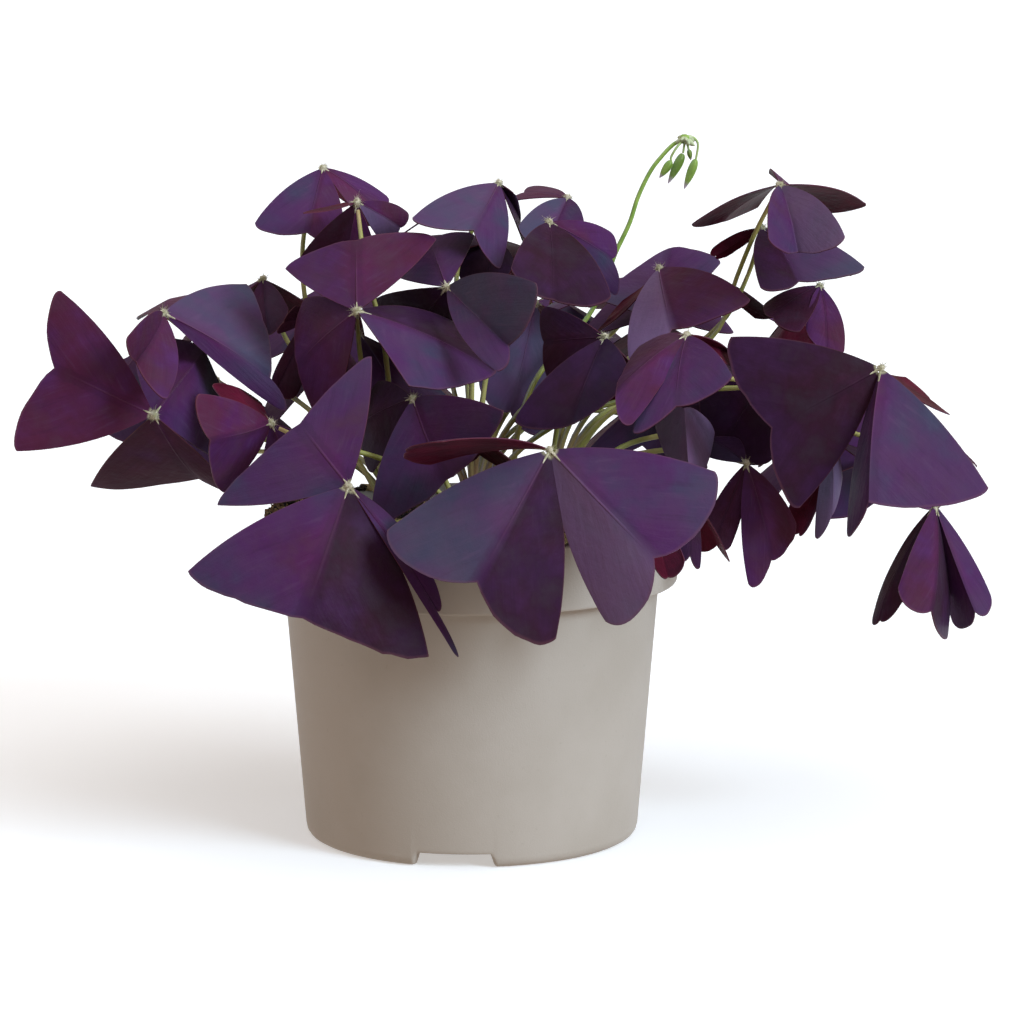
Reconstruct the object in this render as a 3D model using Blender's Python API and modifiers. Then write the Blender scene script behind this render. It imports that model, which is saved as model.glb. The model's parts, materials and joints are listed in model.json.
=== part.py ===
"""A purple shamrock in its 12 cm grower's pot, in metres with +Z up.

The pot stands on z = 0. The leaves that show from the front were sketched in a front view:
a leaf's hub and three points of each leaflet are given as front-view positions, with how far
each lies in front of or behind the hub. The leaves behind are given in space. Each leaf then
slides along its line of sight until it touches no other, and stalks are bent clear of blades.
"""
import math

import bmesh
import bpy
import numpy as np
from mathutils import Vector
from mathutils.bvhtree import BVHTree

# Pot
RIM_RADIUS = 0.060
POT_HEIGHT = 0.094
COLLAR_HEIGHT = 0.0187
BODY_TOP_RADIUS = 0.0547
BODY_FOOT_RADIUS = 0.0485
POT_WALL = 0.0018
FOOT_ROUNDING = 0.004
FLOOR_LIFT = 0.0042
FOOT_RING_WIDTH = 0.0036
NOTCH_WIDTH = 0.023
NOTCH_HEIGHT = 0.0042
NOTCH_TURNS = (-95.7, 24.3, 144.3)
DRAIN_RADIUS = 0.0035
DRAIN_RING = 0.028

# Soil
SOIL_GAP = 0.0003
SOIL_EDGE = 0.088
SOIL_CROWN = 0.094
CROWN_RADIUS = 0.0050
CROWN_DEPTH = 0.012
CROWN_STAND = 0.0015

# Leaves
BLADE = 0.0007
HUB_RADIUS = 0.0023
STEM_RADIUS = 0.0009
CLEAR = 0.0004
RIB_PART = 0.76
HALF_SPREAD = math.radians(34)
RIDGE = math.radians(10)
ROOT = 0.035
LOBE = 0.10
SIDE_BOW = 0.06
TIP_ROUNDING = 0.06
ARCH = 0.05

# Stalks: points on each, and radius just under the hub
STALK_POINTS = 9
STALK_TIP = 0.0006

# Crowns, where the stalks come up: one in the middle and a ring
CROWN_RING = 0.026
RING_COUNT = 6

# Flower stalk: hole in the soil, depth and thickness
SCAPE_FOOT = (0.012, 0.012)
SCAPE_DEPTH = 0.030
SCAPE_RADIUS = 0.0010
PEDICEL_RADIUS = 0.0007

# Front view: eye, downward tilt, and focal length and centre in its 1024 units
EYE = np.array([0.0118, -1.251, 0.303])
TILT = math.radians(9.45)
FOCAL = 4352.0
MIDDLE = 512.0
AHEAD = np.array([0.0, math.cos(TILT), -math.sin(TILT)])
UPWARD = np.array([0.0, math.sin(TILT), math.cos(TILT)])
RIGHT = np.array([1.0, 0.0, 0.0])


def unit(vector):
    return vector / np.linalg.norm(vector)


def sight(spot):
    """Direction from the eye through a front-view position."""
    return unit(AHEAD * FOCAL + RIGHT * (spot[0] - MIDDLE) + UPWARD * (MIDDLE - spot[1]))


def seen_at(spot, depth):
    """The point at y = depth that shows at a front-view position."""
    line = sight(spot)
    return EYE + line * ((depth - EYE[1]) / line[1])


def reached(spot, hub, reach, side):
    """Offset from the hub of a point seen at a spot: nearer or farther than the hub by its reach, or by side in mm."""
    line = sight(spot)
    foot = EYE + line * float((hub - EYE) @ line) - hub
    if side == "level":
        return foot
    if isinstance(side, (int, float)):
        return foot + line * (side / 1000 / line[1])
    deep = math.sqrt(max(0.0, reach ** 2 - float(foot @ foot)))
    return foot + line * (deep if side == "far" else -deep)


def seen(first, rib, last, *sides, under=False, full=0.8):
    """A leaflet drawn in the front view: one corner, the end of its midrib and the other corner.

    Full says how round its lobes are.
    """
    return {"spots": (first, rib, last), "sides": sides * (3 // len(sides)), "under": under, "full": full}


def spread(turn, droop, size=1.0):
    """A leaflet by compass turn and droop below the horizon in degrees, and its share of the edge length."""
    return {"angles": (math.radians(turn), math.radians(droop)), "size": size, "full": 0.9}


# A leaflet that the front view doesn't show: its direction is found where there is room
HIDDEN = {}


# Leaves from the front: hub, its depth and edge length in millimetres, then three leaflets
LEAVES = {
    "A": ((154, 415), -25, 46, [
        seen((58, 287), (54, 368), (14, 452), "level"),
        seen((89, 487), (199, 479), (236, 492), "far", full=0.5),
        seen((136, 340), (205, 350), (238, 470), "far")]),
    "B": ((163, 313), -5, 44, [
        seen((127, 337), (136, 362), (167, 400), "near"),
        seen((248, 284), (270, 378), (282, 412), "far", "level", "level"),
        seen((137, 320), (175, 300), (215, 292), "far")]),
    "C": ((271, 423), -35, 34, [
        seen((197, 393), (210, 440), (222, 494), -25, -20, 0),
        seen((211, 386), (236, 388), (262, 404), 20, 24, 30, under=True),
        seen((262, 498), (300, 490), (332, 452), 18)]),
    "D": ((323, 168), 38, 36, [
        seen((253, 225), (307, 233), (345, 238), -15),
        seen((388, 196), (375, 208), (366, 225), 5, -5, -10),
        seen((350, 205), (360, 200), (372, 192), 20, 26, 28, under=True)]),
    "E": ((357, 202), 10, 36, [
        seen((303, 214), (320, 208), (345, 203), -8, 0, 10, under=True),
        seen((297, 262), (340, 295), (382, 290), 15),
        seen((408, 212), (400, 228), (380, 240), 25, 20, 15)]),
    "F": ((499, 183), 30, 46, [
        seen((410, 219), (473, 231), (500, 270), -30, -25, -30),
        seen((516, 196), (520, 222), (524, 245), 5, 18, 15),
        HIDDEN]),
    "FF": ((500, 240), 62, 36, [
        seen((455, 258), (476, 300), (528, 302), -5, -10, -8),
        HIDDEN,
        HIDDEN]),
    "G": ((568, 198), 50, 42, [
        seen((513, 202), (524, 193), (536, 186), 0, 10, 25),
        seen((518, 226), (545, 250), (585, 235), -20),
        HIDDEN]),
    "H": ((357, 311), -20, 46, [
        seen((284, 268), (357, 241), (439, 238), 20, 15, 18),
        seen((303, 298), (298, 365), (330, 430), 25, 15, 10),
        seen((456, 322), (495, 373), (410, 388), 20, 0, -20)]),
    "I": ((447, 287), -12, 46, [
        seen((538, 283), (509, 346), (496, 373), -37, -30, -36),
        seen((395, 276), (430, 240), (475, 235), 25),
        seen((372, 300), (405, 345), (455, 355), 35, 35, 30)]),
    "J": ((549, 222), 6, 46, [
        seen((510, 270), (553, 300), (612, 298), -26),
        seen((612, 232), (612, 259), (614, 296), 22, 18, 22),
        HIDDEN]),
    "K": ((659, 268), 38, 46, [
        seen((628, 360), (672, 330), (752, 300), "near"),
        seen((598, 331), (606, 320), (622, 300), 20, under=True),
        seen((769, 308), (755, 316), (735, 300), 15, 20, 25, under=True)]),
    "L": ((655, 320), 60, 46, [
        seen((598, 300), (668, 250), (722, 262), 0, 20, 15),
        HIDDEN,
        HIDDEN]),
    "M": ((687, 335), -40, 44, [
        seen((638, 348), (617, 392), (630, 428), 18, -15, -22),
        seen((632, 433), (676, 406), (733, 376), -20),
        seen((718, 342), (728, 352), (735, 368), 10, 18, 15, under=True)]),
    "N": ((780, 185), 15, 40, [
        seen((691, 225), (722, 222), (757, 207), 10, 20, 30, under=True),
        seen((768, 240), (798, 252), (847, 237), "near"),
        seen((769, 172), (815, 212), (868, 205), 30, 28, 25, under=True)]),
    "NN": ((762, 228), 34, 40, [
        seen((714, 247), (716, 256), (726, 257), 10, under=True),
        seen((760, 289), (799, 281), (867, 268), "near"),
        HIDDEN]),
    "O": ((881, 368), -30, 47, [
        seen((727, 336), (771, 428), (798, 510), 0, -6, 0),
        seen((846, 534), (869, 502), (990, 490), 0, -14, 0),
        seen((950, 415), (930, 400), (905, 378), 15, 25, 28, under=True)]),
    "P": ((605, 337), 0, 46, [
        seen((545, 306), (545, 342), (553, 385), 20, 18, 15),
        seen((514, 420), (570, 425), (632, 378), -12),
        HIDDEN]),
    "Q": ((820, 286), 35, 40, [
        seen((806, 330), (826, 350), (845, 350), -22, -25, -22),
        seen((765, 304), (773, 318), (800, 332), -10, -20, -25),
        HIDDEN]),
    "R": ((746, 463), -15, 40, [
        seen((706, 522), (716, 535), (730, 548), -5),
        seen((748, 588), (771, 560), (797, 525), -10, -8, 5),
        seen((700, 455), (712, 440), (738, 438), 15)]),
    "S": ((832, 440), 10, 40, [
        seen((815, 538), (832, 515), (842, 478), -10, -10, 0),
        seen((786, 515), (799, 533), (812, 520), 0, under=True),
        HIDDEN]),
    "T": ((935, 505), 0, 40, [
        seen((875, 610), (880, 620), (905, 600), 10, 5, 0),
        seen((897, 590), (931, 613), (948, 636), -22, -20, 0),
        seen((953, 624), (975, 612), (992, 598), 5, -5, 0)]),
    "U": ((413, 398), -38, 45, [
        seen((505, 411), (447, 480), (370, 525), -25, -8, 0),
        seen((378, 381), (360, 425), (373, 474), 25, 22, 20),
        HIDDEN]),
    "V": ((550, 450), -72, 51, [
        seen((384, 532), (477, 582), (556, 643), 0, -12, 0, full=1.2),
        seen((607, 625), (654, 558), (718, 472), 0, -10, 0, full=1.3),
        seen((428, 463), (408, 453), (440, 442), 22, 0, -20, under=True)]),
    "W": ((349, 486), -65, 51, [
        seen((214, 506), (300, 424), (372, 354), 15, 12, 15, full=0.5),
        seen((183, 574), (303, 618), (431, 661), 0, -10, 0, full=0.4),
        seen((431, 573), (436, 610), (455, 655), 2, 0, -1)]),
    "X": ((772, 366), 0, 36, [
        seen((699, 396), (720, 452), (772, 462), 10, 12, 6),
        HIDDEN,
        HIDDEN]),
    "Y": ((690, 495), -30, 38, [
        seen((655, 425), (684, 408), (715, 432), "far"),
        seen((672, 560), (690, 556), (700, 567), -20),
        HIDDEN]),
    "Z": ((648, 500), -42, 38, [
        seen((652, 562), (668, 577), (685, 560), -10, under=True),
        HIDDEN,
        HIDDEN]),
    "AA": ((535, 302), 44, 46, [
        seen((478, 383), (510, 412), (545, 432), -20),
        HIDDEN,
        HIDDEN]),
    "CC": ((263, 279), 35, 36, [
        seen((247, 325), (268, 335), (289, 310), -10),
        HIDDEN,
        HIDDEN]),
    "DD": ((314, 312), 10, 36, [
        seen((273, 375), (277, 388), (297, 396), -5),
        seen((278, 334), (284, 322), (296, 306), -5),
        HIDDEN]),
}

# Leaves behind: hub in space in millimetres and edge length
BEHIND = {
    "B1": ((-98, 34, 138), 42),
    "B2": ((-80, 86, 140), 42),
    "B3": ((-42, 74, 172), 42),
    "B4": ((-36, 98, 144), 44),
    "B5": ((6, 92, 176), 42),
    "B6": ((24, 108, 146), 44),
    "B7": ((56, 82, 164), 42),
    "B9": ((112, 78, 118), 42),
    "B10": ((118, 34, 128), 42),
    "B11": ((62, 40, 128), 38),
}


def placed(leaflet, hub, edge):
    """A leaflet's first corner, rib end and last corner as offsets from the hub, and its upward normal."""
    if "spots" in leaflet:
        reaches = (edge, RIB_PART * edge, edge)
        first, rib, last = (reached(spot, hub, reach, side)
                            for spot, reach, side in zip(leaflet["spots"], reaches, leaflet["sides"]))
        top = unit(np.cross(first, rib)) + unit(np.cross(rib, last))
        to_eye = EYE - hub - rib / 2
        if (top @ to_eye < 0) != leaflet["under"]:
            top = -top
        return first, rib, last, unit(top)
    turn, droop = leaflet["angles"]
    edge = edge * leaflet["size"]
    middle = np.array([math.cos(turn) * math.cos(droop), math.sin(turn) * math.cos(droop), -math.sin(droop)])
    across = np.array([-math.sin(turn), math.cos(turn), 0.0])
    top = np.cross(middle, across)
    first, last = (edge * (math.cos(HALF_SPREAD) * middle + side * math.sin(HALF_SPREAD) * across) for side in (-1, 1))
    rib = RIB_PART * edge * (math.cos(RIDGE) * middle + math.sin(RIDGE) * top)
    return first, rib, last, top


def outward(corner, rib):
    """Direction in the half blade that is square to the side edge and points away from the rib."""
    away = corner - rib
    away = away - corner * float(away @ corner) / float(corner @ corner)
    return away / max(np.linalg.norm(away), 0.15 * np.linalg.norm(corner))


def surface(leaflet, hub, edge, across, along):
    """Grid of points of one leaflet.

    Across runs from -1 at the first side edge through 0 at the midrib to 1 at the last one, and
    along from 0 at the hub to 1 at the rim. The rim is the straight line from rib end to corner,
    pushed out into a lobe; side edges bow outwards and the blade is arched upwards.
    """
    first, rib, last, top = placed(leaflet, hub, edge)
    across = np.asarray(across, float)[:, None]
    share = np.abs(across)
    corner = np.where(across < 0, first, last)
    beside = np.where(across < 0, outward(first, rib), outward(last, rib))
    lobe = 1 + LOBE * leaflet["full"] * np.sin(math.pi * share ** 0.85)
    lobe = lobe + TIP_ROUNDING * (0.6 * share ** 2 - share ** 9)
    rim = (rib + (corner - rib) * share) * lobe
    along = np.asarray(along, float)[:, None, None]
    hump = 4 * along * (1 - along)
    bow = SIDE_BOW * np.linalg.norm(corner, axis=1)[:, None] * share ** 2 * beside
    return hub + along * rim + hump * (bow + ARCH * np.linalg.norm(rib) * top), top


def hub_of(name, slide=0.0):
    """Hub of a leaf, slid away from the eye by some millimetres of depth."""
    if name in LEAVES:
        spot, depth = LEAVES[name][:2]
        return seen_at(spot, (depth + slide) / 1000)
    hub = np.array(BEHIND[name][0]) / 1000
    line = unit(hub - EYE)
    return hub + line * (slide / 1000 / line[1])


def columns_of(leaflet, edge):
    """Columns of a blade's grid: more for a large one that the front view shows."""
    return (-1, -0.8, -0.4, 0, 0.4, 0.8, 1) if "spots" in leaflet and edge > 0.043 else (-1, -0.65, 0, 0.65, 1)


def blade(leaflet, hub, edge):
    """Coarse grid of one leaflet."""
    return surface(leaflet, hub, edge, columns_of(leaflet, edge), (ROOT, 0.5, 1.0))[0]


def grid_faces(rows, columns):
    """Triangles of a grid, numbered row by row."""
    number = np.arange(rows * columns).reshape(rows, columns)
    a, b, c, d = number[:-1, :-1], number[1:, :-1], number[1:, 1:], number[:-1, 1:]
    return np.concatenate([np.stack([a, b, c], -1).reshape(-1, 3), np.stack([a, c, d], -1).reshape(-1, 3)])


def tree(pieces):
    """Search tree of some pieces, each as points and faces."""
    points, faces, start = [], [], 0
    for spots, triangles in pieces:
        points += spots.reshape(-1, 3).tolist()
        faces += (triangles + start).tolist()
        start = len(points)
    return BVHTree.FromPolygons(points, faces)


def slab(grid, half):
    """A blade's grid thickened by half on both sides, with its rim closed."""
    rows, columns = grid.shape[:2]
    normal = np.cross(np.gradient(grid, axis=0), np.gradient(grid, axis=1))
    normal = normal / np.maximum(np.linalg.norm(normal, axis=-1, keepdims=True), 1e-12)
    points = np.concatenate([(grid + normal * half).reshape(-1, 3), (grid - normal * half).reshape(-1, 3)])
    number = np.arange(rows * columns).reshape(rows, columns)
    loop = np.concatenate([number[0, :-1], number[:-1, -1], number[-1, :0:-1], number[:0:-1, 0]])
    ahead = np.roll(loop, -1)
    under = rows * columns
    side = np.concatenate([np.stack([loop, ahead, ahead + under], -1), np.stack([loop, ahead + under, loop + under], -1)])
    faces = grid_faces(rows, columns)
    return points, np.concatenate([faces, faces + under, side])


def ball(centre, radius):
    """An octahedron, as points and faces."""
    points = centre + radius * np.concatenate([np.eye(3), -np.eye(3)])
    faces = np.array([[0, 1, 2], [1, 3, 2], [3, 4, 2], [4, 0, 2], [1, 0, 5], [3, 1, 5], [4, 3, 5], [0, 4, 5]])
    return points, faces


def hose(path, radius):
    """A six-sided tube along a path, as points and faces."""
    way = np.gradient(path, axis=0)
    way = way / np.linalg.norm(way, axis=1, keepdims=True)
    side = np.cross(way, [0.3, 0.9, 0.31])
    side = side / np.linalg.norm(side, axis=1, keepdims=True)
    other = np.cross(way, side)
    turn = np.linspace(0, 2 * math.pi, 7)[None, :, None]
    grid = path[:, None] + radius * (np.cos(turn) * side[:, None] + np.sin(turn) * other[:, None])
    return grid, grid_faces(len(path), 7)


def pot_guard():
    """A simple closed turned shape round the pot and its soil."""
    profile = np.array([(0.0001, 0.0962), (0.0609, 0.0962), (0.0609, 0.0742), (0.0556, 0.0742), (0.0494, 0.0), (0.0001, 0.0)])
    turn = np.linspace(0, 2 * math.pi, 49)
    grid = np.stack([profile[:, None, 0] * np.cos(turn), profile[:, None, 0] * np.sin(turn),
                     np.repeat(profile[:, 1:], 49, axis=1)], -1)
    return grid, grid_faces(len(profile), 49)


def bend(start, end, leave, arrive, count):
    """Points on the cubic curve from start to end with these handles."""
    t = np.linspace(0, 1, count)[:, None]
    return ((1 - t) ** 3 * start + 3 * (1 - t) ** 2 * t * (start + leave)
            + 3 * (1 - t) * t ** 2 * (end - arrive) + t ** 3 * end)


# Flower stalk and its buds in the front view: stalk from low to high, then each bud's stalk
SCAPE = [(608, 275), (615, 254), (629.5, 223), (638, 197), (650, 172), (662, 156), (674, 144), (685, 139)]
PEDICELS = [
    [(685, 139), (677, 146), (671, 156), (671, 161)],
    [(685, 139), (684, 146), (683, 153)],
    [(685, 139), (692, 137), (698, 144), (696, 160)],
    [(685, 139), (688, 146), (689, 151)],
]
BUDS = [((671, 160), (660, 176), 0.0016), ((683, 153), (669, 181), 0.0018),
        ((696, 159), (685, 187), 0.0017), ((689, 150), (691, 160), 0.0010)]


def ground(x, y):
    """Height of the soil at a place."""
    return float(np.interp(math.hypot(x, y), [r for r, _ in SOIL_TOP], [z for _, z in SOIL_TOP]))


SOIL_TOP = [(0.0, SOIL_CROWN), (0.020, SOIL_CROWN - 0.0005), (0.040, SOIL_CROWN - 0.002),
            (0.053, SOIL_EDGE + 0.0015), (0.0575, SOIL_EDGE)]
CROWNS = [(0.0, 0.0)] + [(CROWN_RING * math.cos(math.radians(a)), CROWN_RING * math.sin(math.radians(a)))
                        for a in np.arange(RING_COUNT) * 360 / RING_COUNT - 90]


def scape_path():
    """The flower stalk from inside its hole to its head."""
    shown = np.array([seen_at(spot, SCAPE_DEPTH) for spot in SCAPE])
    x, y = SCAPE_FOOT
    foot = np.array([x, y, ground(x, y) - CROWN_DEPTH + 0.001])
    way = unit(shown[1] - shown[0])
    mouth = foot + np.array([0, 0, CROWN_DEPTH + 0.001])
    low = bend(mouth, shown[0], np.array([0, 0, 0.05]), way * 0.03, 10)
    return np.concatenate([[foot], low[:-1], shown])


# Leaf stalks whose run the front view shows: crown, then spots from low to high with depths in millimetres
RUNS = {
    "A": (5, [((300, 440), 10), ((240, 438), 17), ((190, 429), 4), ((168, 421), -11)]),
    "N": (3, [((716, 333), 27), ((735, 282), 29), ((746, 254), 27), ((758, 227), 22)]),
    "NN": (3, [((719, 327), 42), ((742, 288), 44), ((753, 262), 41)]),
    "T": (2, [((760, 425), 22), ((850, 432), 22), ((905, 462), 12), ((926, 485), 4)]),
}


def run_path(name):
    """The stalk of such a leaf from inside its crown to its hub, as a smooth curve through the spots."""
    crown, spots = RUNS[name]
    x, y = CROWNS[crown]
    start = np.array([x, y, ground(x, y) - 0.004])
    shown = [seen_at(spot, depth / 1000) for spot, depth in spots]
    hub = hub_of(name)
    end = hub - unit(hub - shown[-1]) * (HUB_RADIUS + CLEAR)
    rise = bend(start, shown[0], np.array([0, 0, 0.03]), 0.4 * (shown[1] - shown[0]), 4)
    knots = np.array([*rise, *shown[1:], end])
    at = np.concatenate([[0], np.cumsum(np.linalg.norm(np.diff(knots, axis=0), axis=1))])
    slope = np.gradient(knots, at, axis=0)
    pick = np.linspace(0, at[-1], STALK_POINTS)
    k = np.clip(np.searchsorted(at, pick, side="right") - 1, 0, len(at) - 2)
    wide = (at[k + 1] - at[k])[:, None]
    t = (pick - at[k])[:, None] / wide
    return ((1 + 2 * t) * (1 - t) ** 2 * knots[k] + t * (1 - t) ** 2 * wide * slope[k]
            + t ** 2 * (3 - 2 * t) * knots[k + 1] - t ** 2 * (1 - t) * wide * slope[k + 1])


def part_seen(grid, cover):
    """Share of a blade that no other blade hides from the eye."""
    spots = grid[1:].reshape(-1, 3)
    free = [cover.ray_cast(Vector(spot), Vector(EYE - spot))[0] is None for spot in spots]
    return sum(free) / len(free)


def apart(ways, rib):
    """Smallest angle in degrees between a rib and the ribs that a leaf has."""
    return min([math.degrees(math.acos(np.clip(unit(rib) @ way, -1, 1))) for way in ways] + [180])


def find_hidden(name, leaf, done, cover):
    """The hidden leaflet that has room and shows least, spaced out from the leaf's others."""
    hub, edge, leaflets = leaf
    ways = [unit(placed(leaflet, hub, edge)[1]) for leaflet in leaflets]
    best = None
    for droop, size in ((25, 1), (45, 1), (65, 1), (8, 1), (35, 0.78), (60, 0.78), (82, 0.78), (70, 0.6)):
        for turn in range(0, 360, 24):
            leaflet = spread(turn, droop, size)
            spacing = apart(ways, placed(leaflet, hub, edge)[1])
            if spacing < 62:
                continue
            grid = blade(leaflet, hub, edge)
            piece = tree([slab(grid, BLADE / 2 + CLEAR)])
            if any(piece.overlap(other) for number, other in done.items() if number != name):
                continue
            cost = part_seen(grid, cover) + 0.003 * abs(droop - 25) + 0.001 * max(0, 110 - spacing) + 0.3 * (1 - size)
            if best is None or cost < best[0]:
                best = (cost, leaflet)
    return best


def leaf_tree(leaf):
    """Search tree of a leaf with room round it."""
    hub, edge, leaflets = leaf
    pieces = [slab(blade(leaflet, hub, edge), BLADE / 2 + CLEAR) for leaflet in leaflets]
    return tree(pieces + [ball(hub, HUB_RADIUS + CLEAR)])


def cover_of(leaves):
    """Search tree of the bare blades."""
    grids = [blade(leaflet, hub, edge) for hub, edge, leaflets in leaves.values() for leaflet in leaflets]
    return tree([(grid, grid_faces(*grid.shape[:2])) for grid in grids])


def settle():
    """Hub, edge length and leaflets of every leaf, with room between all of them."""
    buds = [ball(seen_at(high, SCAPE_DEPTH), 0.006) for high, _, _ in BUDS[:3]]
    done = {"pot": tree([pot_guard()]), "stalk": tree([hose(scape_path(), SCAPE_RADIUS + CLEAR)]), "buds": tree(buds)}
    for name in RUNS:
        path = run_path(name)
        clear = np.linalg.norm(path - hub_of(name), axis=1) > 0.0055
        done["stalk " + name] = tree([hose(path[clear], STEM_RADIUS + CLEAR)])
    leaves = {}
    for name in sorted(LEAVES, key=lambda one: LEAVES[one][1]):
        shown = [leaflet for leaflet in LEAVES[name][3] if leaflet]
        for slide in SLIDES:
            leaf = (hub_of(name, slide), LEAVES[name][2] / 1000, shown)
            piece = leaf_tree(leaf)
            if not any(piece.overlap(other) for other in done.values()):
                break
        else:
            print("no room for leaf", name)
            continue
        done[name] = piece
        leaves[name] = leaf
        print("leaf", name, "slid", slide, "mm")
    cover = cover_of(leaves)
    for name, leaf in leaves.items():
        while len(leaf[2]) < 3:
            found = find_hidden(name, leaf, done, cover)
            if found is None:
                print("leaf", name, "has no room for another leaflet")
                break
            leaf[2].append(found[1])
            done[name] = leaf_tree(leaf)
            cover = cover_of(leaves)
    for name in sorted(BEHIND, key=lambda one: BEHIND[one][0][1]):
        leaf = find_behind(name, done, cover)
        if leaf is None:
            print("no room for leaf", name)
            continue
        leaves[name] = leaf
        done[name] = leaf_tree(leaf)
        cover = cover_of(leaves)
    return leaves


def find_behind(name, done, cover):
    """A whole leaf behind the others: the place and turn near its own where it has room and shows least."""
    edge = BEHIND[name][1] / 1000
    best = None
    for sink in (0, 9, 18, 27):
        for slide in (0, 8, -8, 16, -16):
            hub = hub_of(name, slide) - np.array([0, 0, sink / 1000])
            for droop in (25, 45):
                for turn in (0, 30, 60, 90):
                    leaf = (hub, edge, [spread(turn + step, droop) for step in (0, 120, 240)])
                    shows = sum(part_seen(blade(leaflet, hub, edge), cover) for leaflet in leaf[2]) / 3
                    cost = shows + 0.002 * sink + 0.001 * abs(slide)
                    if best is not None and cost >= best[0]:
                        continue
                    piece = leaf_tree(leaf)
                    if not any(piece.overlap(other) for other in done.values()):
                        best = (cost, leaf, shows)
            if best is not None and best[0] < 0.05:
                break
        if best is not None and best[0] < 0.05:
            break
    if best is None:
        return None
    print("leaf", name, "shows", round(best[2], 2))
    return best[1]


SLIDES = [0.0] + [side * step for step in np.arange(2.0, 32.0, 2.0) for side in (1, -1)]


def leaf_axis(leaf):
    """Mean upward direction of a leaf."""
    hub, edge, leaflets = leaf
    return unit(sum(placed(leaflet, hub, edge)[3] for leaflet in leaflets))


def directions():
    """Evenly spread unit vectors."""
    k = np.arange(60) + 0.5
    rise = 1 - 2 * k / 60
    turn = math.pi * (1 + 5 ** 0.5) * k
    flat = np.sqrt(1 - rise ** 2)
    return np.stack([flat * np.cos(turn), flat * np.sin(turn), rise], -1)


def run_stalks(leaves):
    """Crown number and path of the stalk of each leaf: the clear path that shows least from the front."""
    blade_tree = cover_of(leaves)
    others = [(-1, finer(scape_path()))] + [(RUNS[name][0], finer(run_path(name))) for name in RUNS]
    stalks = {name: (RUNS[name][0], run_path(name)) for name in RUNS}
    middle = np.array(CROWNS)
    for name in sorted(leaves, key=lambda n: np.hypot(*leaves[n][0][:2]), reverse=True):
        hub = leaves[name][0]
        axis = leaf_axis(leaves[name])
        knuckles = np.array([leaves[n][0] for n in leaves if n != name])
        if name in RUNS:
            crown, path = stalks[name]
            beside = [other for other in others if other[0] != crown]
            room = clearance(finer(path), hub, knuckles, blade_tree, beside, crown)
            print("stalk", name, "as seen, room", round(room * 1000, 2), "mm, crosses", crosses(path, blade_tree))
            continue
        crowns = np.argsort(np.linalg.norm(middle - 0.4 * hub[:2], axis=1))[:5]
        best = None
        for crown in crowns:
            x, y = CROWNS[crown]
            start = np.array([x, y, ground(x, y) - 0.004])
            span = np.linalg.norm(hub - start)
            lean = np.array([hub[0] - x, hub[1] - y, 0.0])
            ways = directions()
            ways = ways[ways[:, 2] > min(0.1, (hub[2] - 0.125) * 10)]
            ways = ways[np.argsort(-(ways @ axis) - 0.6 * (ways @ unit(hub - start)) - 0.3 * ways[:, 2])]
            for way in ways[:32]:
                end = hub - way * (HUB_RADIUS + CLEAR)
                for rise in (0.45, 0.8, 0.2):
                    for late in (0.2, 0.45):
                        leave = np.array([0, 0, rise * span]) + 0.15 * lean
                        path = bend(start, end, leave, way * late * span, STALK_POINTS)
                        if path[:, 2].max() > max(hub[2] + 0.0015, 0.125) or crosses(path, blade_tree):
                            continue
                        room = clearance(finer(path), hub, knuckles, blade_tree, others, crown)
                        shows = seen_share(path, blade_tree) if room > -0.0003 else 1.0
                        score = min(room, 0) * 1000 - shows
                        if best is None or score > best[0]:
                            best = (score, crown, path, room, shows)
            if best[0] > -0.12:
                break
        score, crown, path, room, shows = best
        print("stalk", name, "crown", crown, "room", round(room * 1000, 2), "mm, shows", round(shows, 2))
        stalks[name] = (int(crown), path)
        others.append((int(crown), finer(path)))
    return stalks


def crosses(path, blade_tree):
    """Whether a path goes through a blade."""
    return any(blade_tree.ray_cast(Vector(a), Vector(b - a), float(np.linalg.norm(b - a)))[0] is not None
               for a, b in zip(path[:-1], path[1:]))


def finer(path):
    """A path with seven points added on each stretch."""
    steps = np.linspace(0, 1, 8, endpoint=False)[:, None]
    stretches = [a + (b - a) * steps for a, b in zip(path[:-1], path[1:])]
    return np.concatenate(stretches + [path[-1:]])


def seen_share(path, blade_tree):
    """Share of a path that no blade hides from the eye."""
    spots = finer(path)[16:-4:5]
    free = [blade_tree.ray_cast(Vector(spot), Vector(EYE - spot))[0] is None for spot in spots]
    return sum(free) / len(free)


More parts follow.
